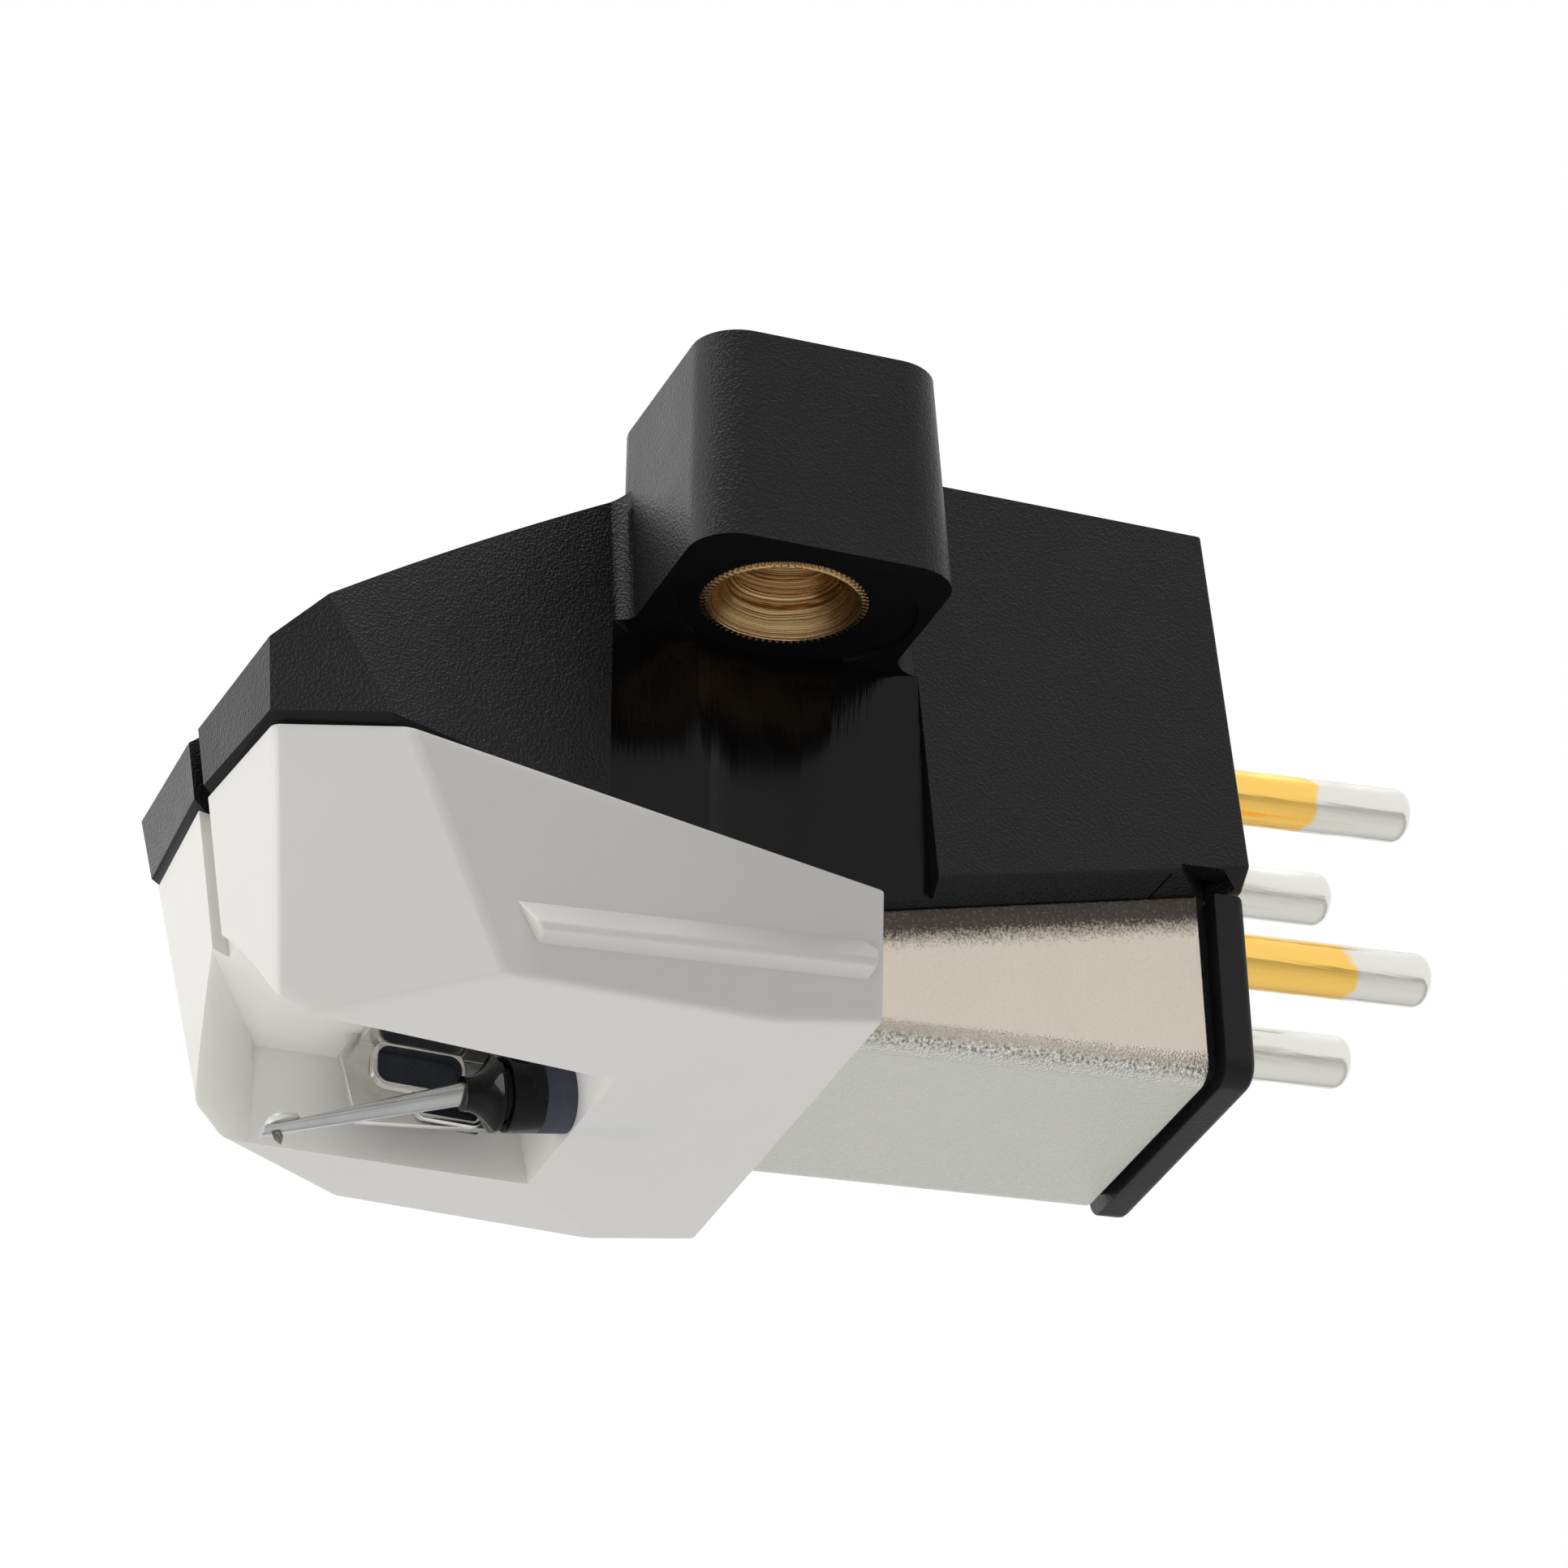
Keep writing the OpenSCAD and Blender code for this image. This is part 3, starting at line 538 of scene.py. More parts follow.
def build_turning_rings():
    """Rings round the two screws' axes, on the flats and on the cone alike."""
    group, given, made = new_group("turning_rings", [("Rings per metre", 9000.0)], ["Height"])
    coordinates = object_coordinates(group)
    x, y, z = parts_of(group, coordinates)
    across = maths(group, "SUBTRACT", maths(group, "ABSOLUTE", x), screw_x * MM)
    squares = [maths(group, "MULTIPLY", value, value) for value in (across, y)]
    reach = maths(group, "SQRT", maths(group, "ADD", *squares))
    wobble = noise(group, 700.0, 2.0, 0.5, coordinates)
    reach = maths(group, "ADD", reach, maths(group, "MULTIPLY", wobble, 0.00012))
    reach = maths(group, "SUBTRACT", reach, maths(group, "MULTIPLY", z, 0.5))
    line = group.nodes.new("ShaderNodeCombineXYZ")
    group.links.new(reach, line.inputs["X"])
    rings = noise(group, given.outputs["Rings per metre"], 3.0, 0.6, line.outputs[0])
    group.links.new(rings, made.inputs["Height"])
    return group


turning_rings = build_turning_rings()
print("group:", turning_rings.name)

# %% [markdown]
# Each material starts from one Principled shader with plain values. The effects above are then
# linked only where they vary something: the base colour between two close tones, the
# roughness, and the bump. Small helpers keep each recipe to a few lines.


# %% Material helpers
def new_finish(name, colour, roughness, metallic=0.0, **sockets):
    """A material with one Principled shader; returns the material, its tree and the shader."""
    material = bpy.data.materials.new(name)
    material.use_nodes = True
    tree = material.node_tree
    shader = tree.nodes["Principled BSDF"]
    shader.inputs["Base Color"].default_value = (*colour, 1)
    shader.inputs["Roughness"].default_value = roughness
    shader.inputs["Metallic"].default_value = metallic
    for socket, value in sockets.items():
        shader.inputs[socket.replace("_", " ")].default_value = value
    return material, tree, shader


def use_group(tree, group, **values):
    """A node group with its own values; returns its one output."""
    node = tree.nodes.new("ShaderNodeGroup")
    node.node_tree = group
    for socket, value in values.items():
        node.inputs[socket.replace("_", " ")].default_value = value
    return node.outputs[0]


def add_bump(tree, shader, height, strength, distance):
    bump = tree.nodes.new("ShaderNodeBump")
    bump.inputs["Strength"].default_value = strength
    bump.inputs["Distance"].default_value = distance
    tree.links.new(height, bump.inputs["Height"])
    tree.links.new(bump.outputs["Normal"], shader.inputs["Normal"])


def add_grain(tree, shader, grains, strength, distance):
    """The moulded grain as a bump."""
    surface = use_group(tree, moulded_grain, Grains_per_metre=grains)
    add_bump(tree, shader, surface, strength, distance)


def vary_gloss(tree, shader, clouds, low, high):
    """Lets the roughness drift between two values."""
    gloss = use_group(tree, cloudiness, Clouds_per_metre=clouds, Low=low, High=high)
    tree.links.new(gloss, shader.inputs["Roughness"])


def vary_tone(tree, shader, clouds, colour, darker, lighter):
    """Lets the base colour drift between a darker and a lighter tone."""
    shade = use_group(tree, cloudiness, Clouds_per_metre=clouds, Low=0.0, High=1.0)
    dark = [c * darker for c in colour]
    light = [min(1, c * lighter) for c in colour]
    tree.links.new(blend(tree, shade, dark, light), shader.inputs["Base Color"])


print("material helpers ready")

# %% [markdown]
# The body is matt black plastic with a fine grain. Such a plastic returns little light when it
# is seen squarely and much more when it is seen at a flat angle: that is why the faces round
# the nose look grey and the sides deep. A low specular level with a moderate roughness gives
# this. The faces under the ears are rougher and painted darker as shade, so they return almost
# nothing.

# %% Black plastics
def black_plastic(name, colour, roughness, grains, strength, specular=0.2):
    material, tree, shader = new_finish(name, colour, roughness, Specular_IOR_Level=specular)
    add_grain(tree, shader, grains, strength, 0.00003)
    vary_gloss(tree, shader, 500.0, roughness - 0.03, roughness + 0.04)
    vary_tone(tree, shader, 900.0, colour, 0.85, 1.2)
    return material


def drag_lines(material):
    """Upright lines on the walls that a slide of the mould was drawn along."""
    tree = material.node_tree
    lines = noise(tree, 9000.0, 3.0, 0.6, stretch=(1, 1, 0.02))
    add_bump(tree, tree.nodes["Principled BSDF"], lines, 0.5, 0.00002)


shell_black = black_plastic("shell_black", (0.0078, 0.0074, 0.0078), 0.34, 15000.0, 0.6, 0.2)
# The ears' undersides: rougher, and painted darker as shade.
shell_under_shaded = black_plastic("shell_under_shaded", (0.004, 0.004, 0.0046), 0.6, 13000.0, 0.35, 0.06)
# The lip: a little smoother, and painted darker as the shade along the parting line.
lip_shaded_black = black_plastic("lip_shaded_black", (0.0065, 0.0065, 0.0075), 0.3, 9000.0, 0.06, 0.12)
# The relief's walls: glossy with drag lines, and painted darker as the shade under the ear.
relief_shaded_black = black_plastic("relief_shaded_black", (0.004, 0.0036, 0.0036), 0.16, 9000.0, 0.05, 0.16)
plate_black = black_plastic("plate_black", (0.0085, 0.0085, 0.009), 0.4, 9000.0, 0.2)
drag_lines(relief_shaded_black)
print("black plastics ready")

# %% [markdown]
# The stylus holder is a warm, slightly milky white. Light enters such a plastic a little, which
# softens its shadows and warms its edges. Subsurface scattering of a few tenths of a
# millimetre gives that, with only a faint grain.

# %% White plastic
def white_plastic(name, lift):
    """The white of the holder, with its tone multiplied by lift; a lift above one paints in light.
    """
    colour = [lift * c for c in (0.745, 0.733, 0.707)]
    material, tree, shader = new_finish(
        name, colour, 0.42,
        Specular_IOR_Level=0.4, Subsurface_Weight=0.3, Subsurface_Scale=0.0003,
    )
    shader.inputs["Subsurface Radius"].default_value = (1.0, 0.85, 0.7)
    add_grain(tree, shader, 11000.0, 0.06, 0.00002)
    vary_tone(tree, shader, 160.0, colour, 0.985, 1.015)
    vary_gloss(tree, shader, 700.0, 0.38, 0.46)
    return material


holder_white = white_plastic("holder_white", 1.0)
holder_painted_light = white_plastic("holder_painted_light", 1.2)
print("white plastic ready")

# %% [markdown]
# The metals: a satin shield can with an orange-peel surface, brass inserts with turning marks,
# gold and tinned pins, a bright stamped bracket and a drawn aluminium tube. A metal shows what
# is around it, so its colour is light and its roughness and bump do the work.

# %% Metals
def metal(name, colour, roughness, marks_per_metre, marks, strength, distance):
    material, tree, shader = new_finish(name, colour, roughness, 1.0)
    surface = use_group(tree, marks)
    surface.node.inputs[0].default_value = marks_per_metre
    add_bump(tree, shader, surface, strength, distance)
    vary_gloss(tree, shader, 900.0, roughness * 0.8, roughness * 1.25)
    vary_tone(tree, shader, 1500.0, colour, 0.92, 1.05)
    return material


def turned_brass():
    """Brass with the rings a blunt tool leaves; their dark and bright tones are painted shade and
    highlight.
    """
    material, tree, shader = new_finish("insert_brass", (0.7, 0.45, 0.2), 0.24, 1.0)
    rings = use_group(tree, turning_rings, Rings_per_metre=16000.0)
    add_bump(tree, shader, rings, 1.0, 0.0001)
    # Painted shade and highlight: the rings' low parts are painted dark brown and their high parts
    # bright.
    tone = blend(tree, ramp(tree, rings, 0.38, 0.6), (0.3, 0.16, 0.05), (1.0, 0.72, 0.38))
    tree.links.new(tone, shader.inputs["Base Color"])
    vary_gloss(tree, shader, 900.0, 0.18, 0.32)
    return material


insert_brass = turned_brass()
bracket_nickel = metal(
    "bracket_nickel", (0.72, 0.71, 0.68), 0.2, 6000.0, moulded_grain, 0.12, 0.00002)
arm_aluminium = metal(
    "arm_aluminium", (0.5, 0.5, 0.5), 0.2, 14000.0, drawn_streaks, 0.1, 0.000006)
lamination_steel = metal(
    "lamination_steel", (0.5, 0.5, 0.49), 0.35, 9000.0, drawn_streaks, 0.3, 0.00001)
magnet_grey = metal(
    "magnet_grey", (0.28, 0.28, 0.29), 0.45, 9000.0, moulded_grain, 0.3, 0.00002)
coil_copper = metal(
    "coil_copper", (0.62, 0.3, 0.13), 0.35, 14000.0, drawn_streaks, 0.6, 0.00003)
print("metals ready")

# %% [markdown]
# The shield can is thin magnetic sheet, bent and plated. It is satin on its flats and wrinkled
# along the bends, where the sheet was stretched. Its sides are warmer than its bottom, a painted
# light that follows the direction of each face. Masks drive all this: the height along the can
# for the wrinkles, the surface's direction for the two painted tones and for the painted glints
# and shade on the bend, and the distance below the body for the painted dark band in which the
# sheet mirrors it.


# %% The can's sheet
can_tilt = 4.1
bend_height = 14.18 * MM
ledge_rise = 13.4
ledge_depth = 11.8


def slanted_height(tree, y, z, degrees):
    """The height above a plane that rises to the rear, through the origin."""
    turn = math.radians(degrees)
    upright = maths(tree, "MULTIPLY", z, math.cos(turn))
    return maths(tree, "SUBTRACT", upright, maths(tree, "MULTIPLY", y, math.sin(turn)))


def wrinkle(tree, shader, y, z):
    """The orange peel of the sheet, strong near the bend and faint on the flats."""
    height = slanted_height(tree, y, z, can_tilt)
    from_bend = maths(tree, "ABSOLUTE", maths(tree, "ADD", height, bend_height))
    near = ramp(tree, from_bend, 0.0001, 0.00045, 1.0, 0.06, "SMOOTHSTEP")
    peel = use_group(tree, moulded_grain, Grains_per_metre=19000.0)
    fine = noise(tree, 15000.0, 3.0, 0.6, stretch=(1, 0.3, 1))
    peel = maths(tree, "MULTIPLY", peel, near)
    relief = maths(tree, "ADD", peel, maths(tree, "MULTIPLY", fine, 0.1))
    add_bump(tree, shader, relief, 0.9, 0.00006)


def mirror_body(tree, colour, y, z):
    """Darkens the band below the body, with a speckled border."""
    height = slanted_height(tree, y, z, ledge_rise)
    start = -ledge_depth * MM * math.cos(math.radians(ledge_rise))
    below = maths(tree, "SUBTRACT", start, height)
    speckle = maths(tree, "SUBTRACT", noise(tree, 17000.0, 3.0, 0.7), 0.5)
    border = maths(tree, "ADD", below, maths(tree, "MULTIPLY", speckle, 0.001))
    return blend(tree, ramp(tree, border, 0.0005, 0.00095), (0.055, 0.047, 0.04), colour)


def paint_bend_glints(tree, colour, down):
    """Painted glints and shade as flecks, strong where the sheet turns from its side to its bottom.
    """
    rest = maths(tree, "SUBTRACT", 1.0, down)
    bend = maths(tree, "MULTIPLY", maths(tree, "MULTIPLY", down, rest), 3.4)
    amount = maths(tree, "ADD", bend, 0.035)
    glint_noise = noise(tree, 13000.0, 2.0, 0.6)
    for start, end, tone in ((0.47, 0.38, (0.2, 0.19, 0.17)), (0.55, 0.63, (1.0, 1.0, 1.0))):
        shade_and_glint = maths(tree, "MULTIPLY", ramp(tree, glint_noise, start, end), amount)
        colour = blend(tree, shade_and_glint, colour, tone)
    return colour


def can_sheet():
    material, tree, shader = new_finish("can_steel", (0.57, 0.52, 0.44), 0.3, 1.0)
    coordinates = tree.nodes.new("ShaderNodeTexCoord").outputs
    _, y, z = parts_of(tree, coordinates["Object"])
    down = ramp(tree, parts_of(tree, coordinates["Normal"])["Z"], -0.3, -0.9)
    # Painted light: the sides get a warmer tone and the bottom a lighter one, chosen only by the
    # face's direction.
    colour = blend(tree, down, (0.6, 0.54, 0.455), (0.71, 0.71, 0.65))
    colour = paint_bend_glints(tree, mirror_body(tree, colour, y, z), down)
    tree.links.new(colour, shader.inputs["Base Color"])
    wrinkle(tree, shader, y, z)
    vary_gloss(tree, shader, 700.0, 0.27, 0.36)
    return material


can_steel = can_sheet()
print("can sheet ready")

# %% [markdown]
# Each pin is gold where it leaves the body and bright tinned metal towards its rounded end.
# The border is a slightly wavy line at a fixed place along the pin, so a noise is added to the
# Y coordinate before a narrow ramp chooses the colour.

# %% Two-tone pins
def pin_metal(name, border):
    material, tree, shader = new_finish(name, (0.8, 0.6, 0.25), 0.2, 1.0)
    place = object_coordinates(tree)
    wave = maths(tree, "SUBTRACT", noise(tree, 900.0, 2.0, 0.5, place), 0.5)
    along = maths(tree, "ADD", parts_of(tree, place)["Y"], maths(tree, "MULTIPLY", wave, 0.0016))
    plated = ramp(tree, along, border - 0.00008, border + 0.00008)
    tone = blend(tree, plated, (0.98, 0.62, 0.15), (0.78, 0.77, 0.71))
    tree.links.new(tone, shader.inputs["Base Color"])
    surface = use_group(tree, drawn_streaks, Streaks_per_metre=6000.0)
    add_bump(tree, shader, surface, 0.5, 0.00003)
    vary_gloss(tree, shader, 800.0, 0.14, 0.3)
    return material


near_upper_metal = pin_metal("near_upper_metal", 0.01425)
near_lower_metal = pin_metal("near_lower_metal", 0.01535)
far_pin_metal = pin_metal("far_pin_metal", 0.0119)
print("pin metals ready")

# %% [markdown]
# The last finishes belong to small things: a glossy black hub and sleeve, a grey rubber plug,
# the clear glue over the stylus and the stone itself. Glue and stone let some light through,
# so they get transmission and their own index of refraction.


# %% Small plastics and the stylus
def gloss_plastic(name, colour, roughness, **sockets):
    material, tree, shader = new_finish(name, colour, roughness, **sockets)
    add_grain(tree, shader, 5000.0, 0.1, 0.00002)
    vary_gloss(tree, shader, 1500.0, roughness * 0.8, roughness * 1.3)
    return material


hub_black = gloss_plastic("hub_black", (0.002, 0.002, 0.0025), 0.07, Specular_IOR_Level=0.2)
sleeve_black = gloss_plastic(
    "sleeve_black", (0.006, 0.006, 0.007), 0.25, Specular_IOR_Level=0.12)
plug_grey = black_plastic("plug_grey", (0.045, 0.05, 0.065), 0.6, 9000.0, 0.5)
damper_rubber = black_plastic("damper_rubber", (0.02, 0.02, 0.02), 0.7, 9000.0, 0.3)
bond_clear = gloss_plastic(
    "bond_clear", (0.86, 0.86, 0.82), 0.08, Transmission_Weight=0.55, IOR=1.45)
stylus_stone = gloss_plastic(
    "stylus_stone", (0.1, 0.09, 0.08), 0.08, Transmission_Weight=0.4, IOR=2.2)
print("small finishes ready")

# %% [markdown]
# The nose of the black body and the white holder share one set of facets. They are flat planes,
# so each is kept as a direction and a distance, and both mouldings are sliced from a block with
# them. The numbers are the part's own: two front facets that meet in the middle, two corner
# facets, and the sloping line where black meets white. The black facets stand a hair proud.

# %% The shared facets
ear_depth = 5.2
nose_turn, nose_lean = 3.5 - 90, -8
corner_turn, corner_lean = -37, -14.7
front_reach, proud_front_reach = 12.63, 12.71
front_facet = plane_of(nose_turn, nose_lean, front_reach)
corner_facet = plane_of(corner_turn, corner_lean, 12.25)
nose_front = plane_of(nose_turn, nose_lean, proud_front_reach)
nose_corner = plane_of(corner_turn, corner_lean, 12.33)
nose_side = plane_at(9.5, 9.4, (4.4, -3.38, -ear_depth))
nose_facets = (nose_front, nose_corner, nose_side)
seam_fall = 9.66
seam_below = plane_at(-90, seam_fall - 90, (0, -11.45, -9.28))
seam_above = plane_at(90, 90 - seam_fall, (0, -11.45, -9.34))


def between(first, second, inset):
    """A bevel plane through the line that two inset planes share."""
    return first[0] + second[0], first[1] + second[1] - inset


print("seam falls by", seam_fall, "degrees")

# %% [markdown]
# The stylus holder first. A block is sliced to its facets: two in front, one at each corner, a
# belly that rises to the sides and a panel that rises to the rear. It could also be lofted from
# outlines, but slicing gives the crisp flat faces of the real moulding.

# %% The holder's outer form
holder_depth = 15.88
opening_back = -2.55
belly_side = plane_at(0, 7.9 - 90, (2.93, 0, -holder_depth))
rear_panel = plane_at(90, 9.8 - 90, (0, opening_back, -holder_depth))
holder_sides = both(front_facet) + both(corner_facet) + both(belly_side) + [rear_panel]
holder = block("holder", (-6.15, -14, -holder_depth), (6.15, 2.6, -8.4))
slice_off(holder, holder_sides + [seam_above])
print("holder faces:", len(holder.data.polygons))

# %% [markdown]
# Moulded edges are never sharp, and this white plastic glows softly where its facets meet. The
# outer edges are rounded before any opening is cut, so that Bevel has long clean edges to work
# on. The edges along the parting line stay out, for there the two halves of the mould closed.


# %% The holder's rounded edges
outer_faces = holder_sides + [(Vector((0, 0, -1)), holder_depth)]


def on_seam(middle):
    return off_plane(middle, seam_above) < 1e-3


def touches_outside(edge):
    """True for an edge that lies in one of the holder's outer faces."""
    ends = [vertex.co for vertex in edge.verts]
    return any(all(off_plane(end, face) < 2e-3 for end in ends) for face in outer_faces)


round_edges(holder, 0.18, lambda middle, edge: not on_seam(middle), 6)

# %% [markdown]
# Now the openings that show. A groove runs down the line where the two front facets meet. Below
# it a notch widens backwards into the opening for the stylus, with a level ceiling and a
# leaning rear wall. Each is cut with a solid of its own shape. The notch's solid is a block
# whose corners are moved, which twists its side faces. Subdivided, each becomes an even,
# slightly twisted flank, as on the real moulding. The openings' rims are rounded last.


# %% The front groove and the stylus opening
opening_half = 3.36
notch_front, notch_back = -11.0, -9.03


def front_groove(reach, top, bottom):
    """A slot down the line where the two front facets meet."""
    half_width = 0.35
    inner = 0.4 - reach / math.cos(math.radians(nose_turn + 90))
    slot = block("groove", (-half_width, -20, bottom), (half_width, inner, top))
    turn_about(slot, -nose_lean)
    return slot


def notch():
    """The notch's solid, from its narrow tip to the opening's full width."""
    wedge = block(
        "notch_blend", (-opening_half, notch_front, -holder_depth), (opening_half, notch_back, -12.7)
    )
    bpy.ops.object.mode_set(mode="EDIT")
    for y, half_width, drop in ((notch_front, 0.35, 0), (notch_back, 3.26, -0.7)):
        choose(wedge, "VERT", lambda corner: corner.co.z > -13.5 and abs(corner.co.y - y) < 0.01)
        share = half_width / opening_half
        bpy.ops.transform.resize(value=(share, 1, 1), center_override=(0, y, -13))
        bpy.ops.transform.translate(value=(0, 0, drop))
    choose(wedge, "VERT", lambda corner: corner.co.z < -15 and corner.co.y < -10.9)
    bpy.ops.transform.resize(
        value=(3.5 / opening_half, 1, 1), center_override=(0, notch_front, -holder_depth)
    )
    bpy.ops.mesh.select_all(action="SELECT")
    bpy.ops.mesh.subdivide(number_cuts=9)
    choose(wedge, "FACE", lambda face: face.normal.z < -0.9)
    bpy.ops.mesh.extrude_region_move(TRANSFORM_OT_translate={"value": (0, 0, -1.5)})
    bpy.ops.object.mode_set(mode="OBJECT")
    return wedge


def stylus_opening():
    """The pocket behind the notch, with its slanted sides and its leaning rear wall."""
    front = -9.04
    pocket = block("pocket", (-opening_half, front, -17.5), (opening_half, -1.8, -13.4))
    side = plane_through(Vector((6.49, 0.43, 0)).normalized(), (opening_half, front, 0))
    rear_wall = plane_at(90, 11, (0, opening_back, -holder_depth))
    slice_off(pocket, both(side) + [rear_wall])
    return pocket


def on_rim(middle, edge):
    return sharp(edge, 30) and touches_outside(edge) and not on_seam(middle)


combine(holder, front_groove(front_reach, -6, -17))
combine(holder, notch())
combine(holder, stylus_opening())
round_edges(holder, 0.1, on_rim, 3)
round_edges(holder, 0.05, lambda middle, edge: on_seam(middle) and sharp(edge, 40), 2)
print("holder faces after the openings:", len(holder.data.polygons))

# %% [markdown]
# A thumb and a finger pull the holder off by two low bars on its sides. Each bar is a prism
# with a sloping upper face, a sharp lower ridge and slanted ends. The other side gets a
# mirrored copy.


# %% The grip bars
bar_top, bar_bottom, bar_foot = -13.12, -14.12, 6.15
bar = block("grip_bar", (5.6, -7.1, bar_bottom), (6.57, 1.85, bar_top))
slice_off(bar, [
    plane_through(Vector((0.65, 0, 0.42)), (bar_foot, 0, bar_top)),
    plane_through(Vector((0.15, 0, -0.42)), (bar_foot, 0, bar_bottom)),
    plane_at(-90, -25, (0, -6.95, bar_top)),
    plane_at(90, 45, (0, 1.15, bar_top)),
    plane_at(90, -22, (0, 1.45, -13.5)),
])
round_edges(bar, 0.06, lambda middle, edge: middle.x > 5.9, 3)
turn_about(bar, can_tilt)
other_bar = mirrored_copy(bar, "grip_bar_left")
combine(holder, bar, "UNION")
combine(holder, other_bar, "UNION")

# %% [markdown]
# Inside, the holder has the room for the magnets, the channel that slides onto the shield can
# and the round seat of the suspension sleeve. They lie along two slanted lines, so each cutter
# is made upright and turned to its line.

# %% The room, the channel and the seat
room = block("room", (-2.2, -3.15, -15.34), (2.2, -1.9, -5))
turn_about(room, can_tilt)
combine(holder, room)
channel = block("channel", (-3.92, -1.76, -14.56), (3.92, 20, -3))
round_edges(channel, 0.5, lambda middle, edge: middle.z < -14.5 and abs(middle.x) > 3.9, 4)
turn_about(channel, can_tilt)
combine(holder, channel)

pivot = Vector((0, -4.0, -15.19))
arm_tilt = 9.8
sleeve_radius = 0.87


def on_arm_axis(piece):
    """Moves a shape made about the origin to the pivot, its Y axis along the suspension."""
    turn_about(piece, arm_tilt)
    move_to(piece, pivot)


seat = rod("seat", sleeve_radius, (0, 0, 0), (0, 3.2, 0))
on_arm_axis(seat)
combine(holder, seat)
settle(holder, "stylus_unit", "holder_white", holder_white, "stylus_holder")

# %% [markdown]
# The walls of the opening are thin, and on the real part light comes through them from behind.
# So they look lighter than a solid white would. They get a second white, painted lighter to stand
# in for that light.

# %% The opening's lighter walls
holder.data.materials.append(holder_painted_light)
opening_axis = Vector((0, -7.5, -17))
lit = 0
for face in holder.data.polygons:
    centre = face.center / MM
    near = abs(centre.x) < 3.47 and -11.1 < centre.y < -2.2 and -15.95 < centre.z < -12.5
    underside = face.normal.z < -0.7 and centre.z < -15
    if near and not underside and face.normal.dot(opening_axis - centre) > 0:
        face.material_index = 1
        lit += 1
print("faces in the opening:", lit)

# %% [markdown]
# The black body is three simple solids joined: the two ears with the pad between them, the long
# rear block and the faceted nose. The ears come first. Their outer corners have a large radius,
# the front of the pad is hollowed in a shallow arc, and the hollow's ends are rounded too.

# %% The ears
ear_front_wall = plane_at(-90, 0, (0, -2.95, 0))
ear_rear_wall = plane_at(90, 5.5, (0, 2.75, 0))
ears = block("ears", (-9.25, -2.95, -ear_depth), (9.25, 3.6, 0))
slice_off(ears, [ear_rear_wall])


def upright(middle):
    return abs(middle.z + ear_depth / 2) < 1


def hollow_end(middle, edge):
    return abs(abs(middle.x) - hollow_half) < 0.1 and middle.y < -2.8 and upright(middle)


round_edges(ears, 1.1, lambda middle, edge: abs(middle.x) > 9.2 and upright(middle), 10)
hollow_half, hollow_back = 3.6, -1.95
hollow_radius = (hollow_half**2 + 1) / 2
hollow_axis = hollow_back - hollow_radius
combine(ears, rod("hollow", hollow_radius, (0, hollow_axis, -8), (0, hollow_axis, 3)))
round_edges(ears, 0.5, hollow_end, 6)
round_edges(ears, 0.07, lambda middle, edge: middle.z < -5.19, 3)
round_edges(ears, 0.07, lambda middle, edge: middle.z > -0.01, 2)
merge_close(ears, 1e-3)

# %% [markdown]
# The rear block has sides that widen a little downwards, a rear face that leans back and an
# underside that rises to the rear, with a bevel along each lower edge. The shield can will
# hang out of this underside.

# %% The rear block
shell_side = plane_at(0, 2.3, (4.2, 0, 0))
shell_back = plane_at(90, 7, (0, 11, 0))
ledge = plane_at(90, ledge_rise - 90, (0, 0, -ledge_depth))
bevel_turn = math.radians(32)
bevel_normal = Vector((math.sin(bevel_turn), 0, 0)) + math.cos(bevel_turn) * ledge[0]
ledge_bevel = plane_through(bevel_normal, (3.93, 0, -ledge_depth))
rear = block("rear", (-5.4, -3.0, -13), (5.4, 14, 0))
slice_off(rear, both(shell_side) + both(ledge_bevel) + [ledge, seam_below, shell_back])


def on_block_outside(middle, edge):
    return middle.y > -2.9 and not abs(middle.z) < 0.01 or middle.y > 10


round_edges(rear, 0.07, on_block_outside, 3)
combine(rear, block("above_nose", (-9, -9, -2.2), (9, -1.5, 3)))

# %% [markdown]
# In the corners between the ears and the shell the mould has a radius, for strength and so
# that the plastic flows. Such a fillet is a bar that fills the corner, hollowed by a rod whose
# axis keeps the same distance from both walls. One function makes it for any two walls.


# %% A filled corner
def axis_point(first, second, radius, height):
    """Where two walls, both moved out by the radius, cross at a height."""
    (a, b, c), (d, e, f) = first[0], second[0]
    p, q = first[1] + radius - c * height, second[1] + radius - f * height
    share = a * e - b * d
    return (p * e - b * q) / share, (a * q - p * d) / share, height


def fill_corner(name, first, second, radius, near, low, high):
    """A concave fillet between two walls, from the height low to the height high."""
    near, reach, inside = Vector(near), Vector((2, 2, 9)), 0.3
    bar = block(name, near - reach, near + reach)
    for normal, distance in (first, second):
        slice_off(bar, [(normal, distance + radius), (-normal, inside - distance)])
    ends = [axis_point(first, second, radius, height) for height in (-12, 4)]
    combine(bar, rod("hollow", radius + 0.012, *ends, 96))
    slice_off(bar, [(Vector((0, 0, -1)), -low), (Vector((0, 0, 1)), high)])
    return bar


front_fillet = fill_corner(
    "front_fillet", ear_front_wall, nose_side, 0.42, (4.6, -2.95, -4), -5.19, 0.4)
rear_fillet = fill_corner(
    "rear_fillet", ear_rear_wall, shell_side, 0.75, (4.4, 3.0, -4), -5.19, -0.02)
print("fillet faces:", len(front_fillet.data.polygons), len(rear_fillet.data.polygons))

# %% [markdown]
# The nose has the same facets as the white holder, but stands a hair proud of them. Its top is
# a very large arc, so a huge rod is intersected with the sliced block. The upper edges are
# softly rounded. A narrow lip is bevelled along the parting line, which throws the bright line
# above the white.

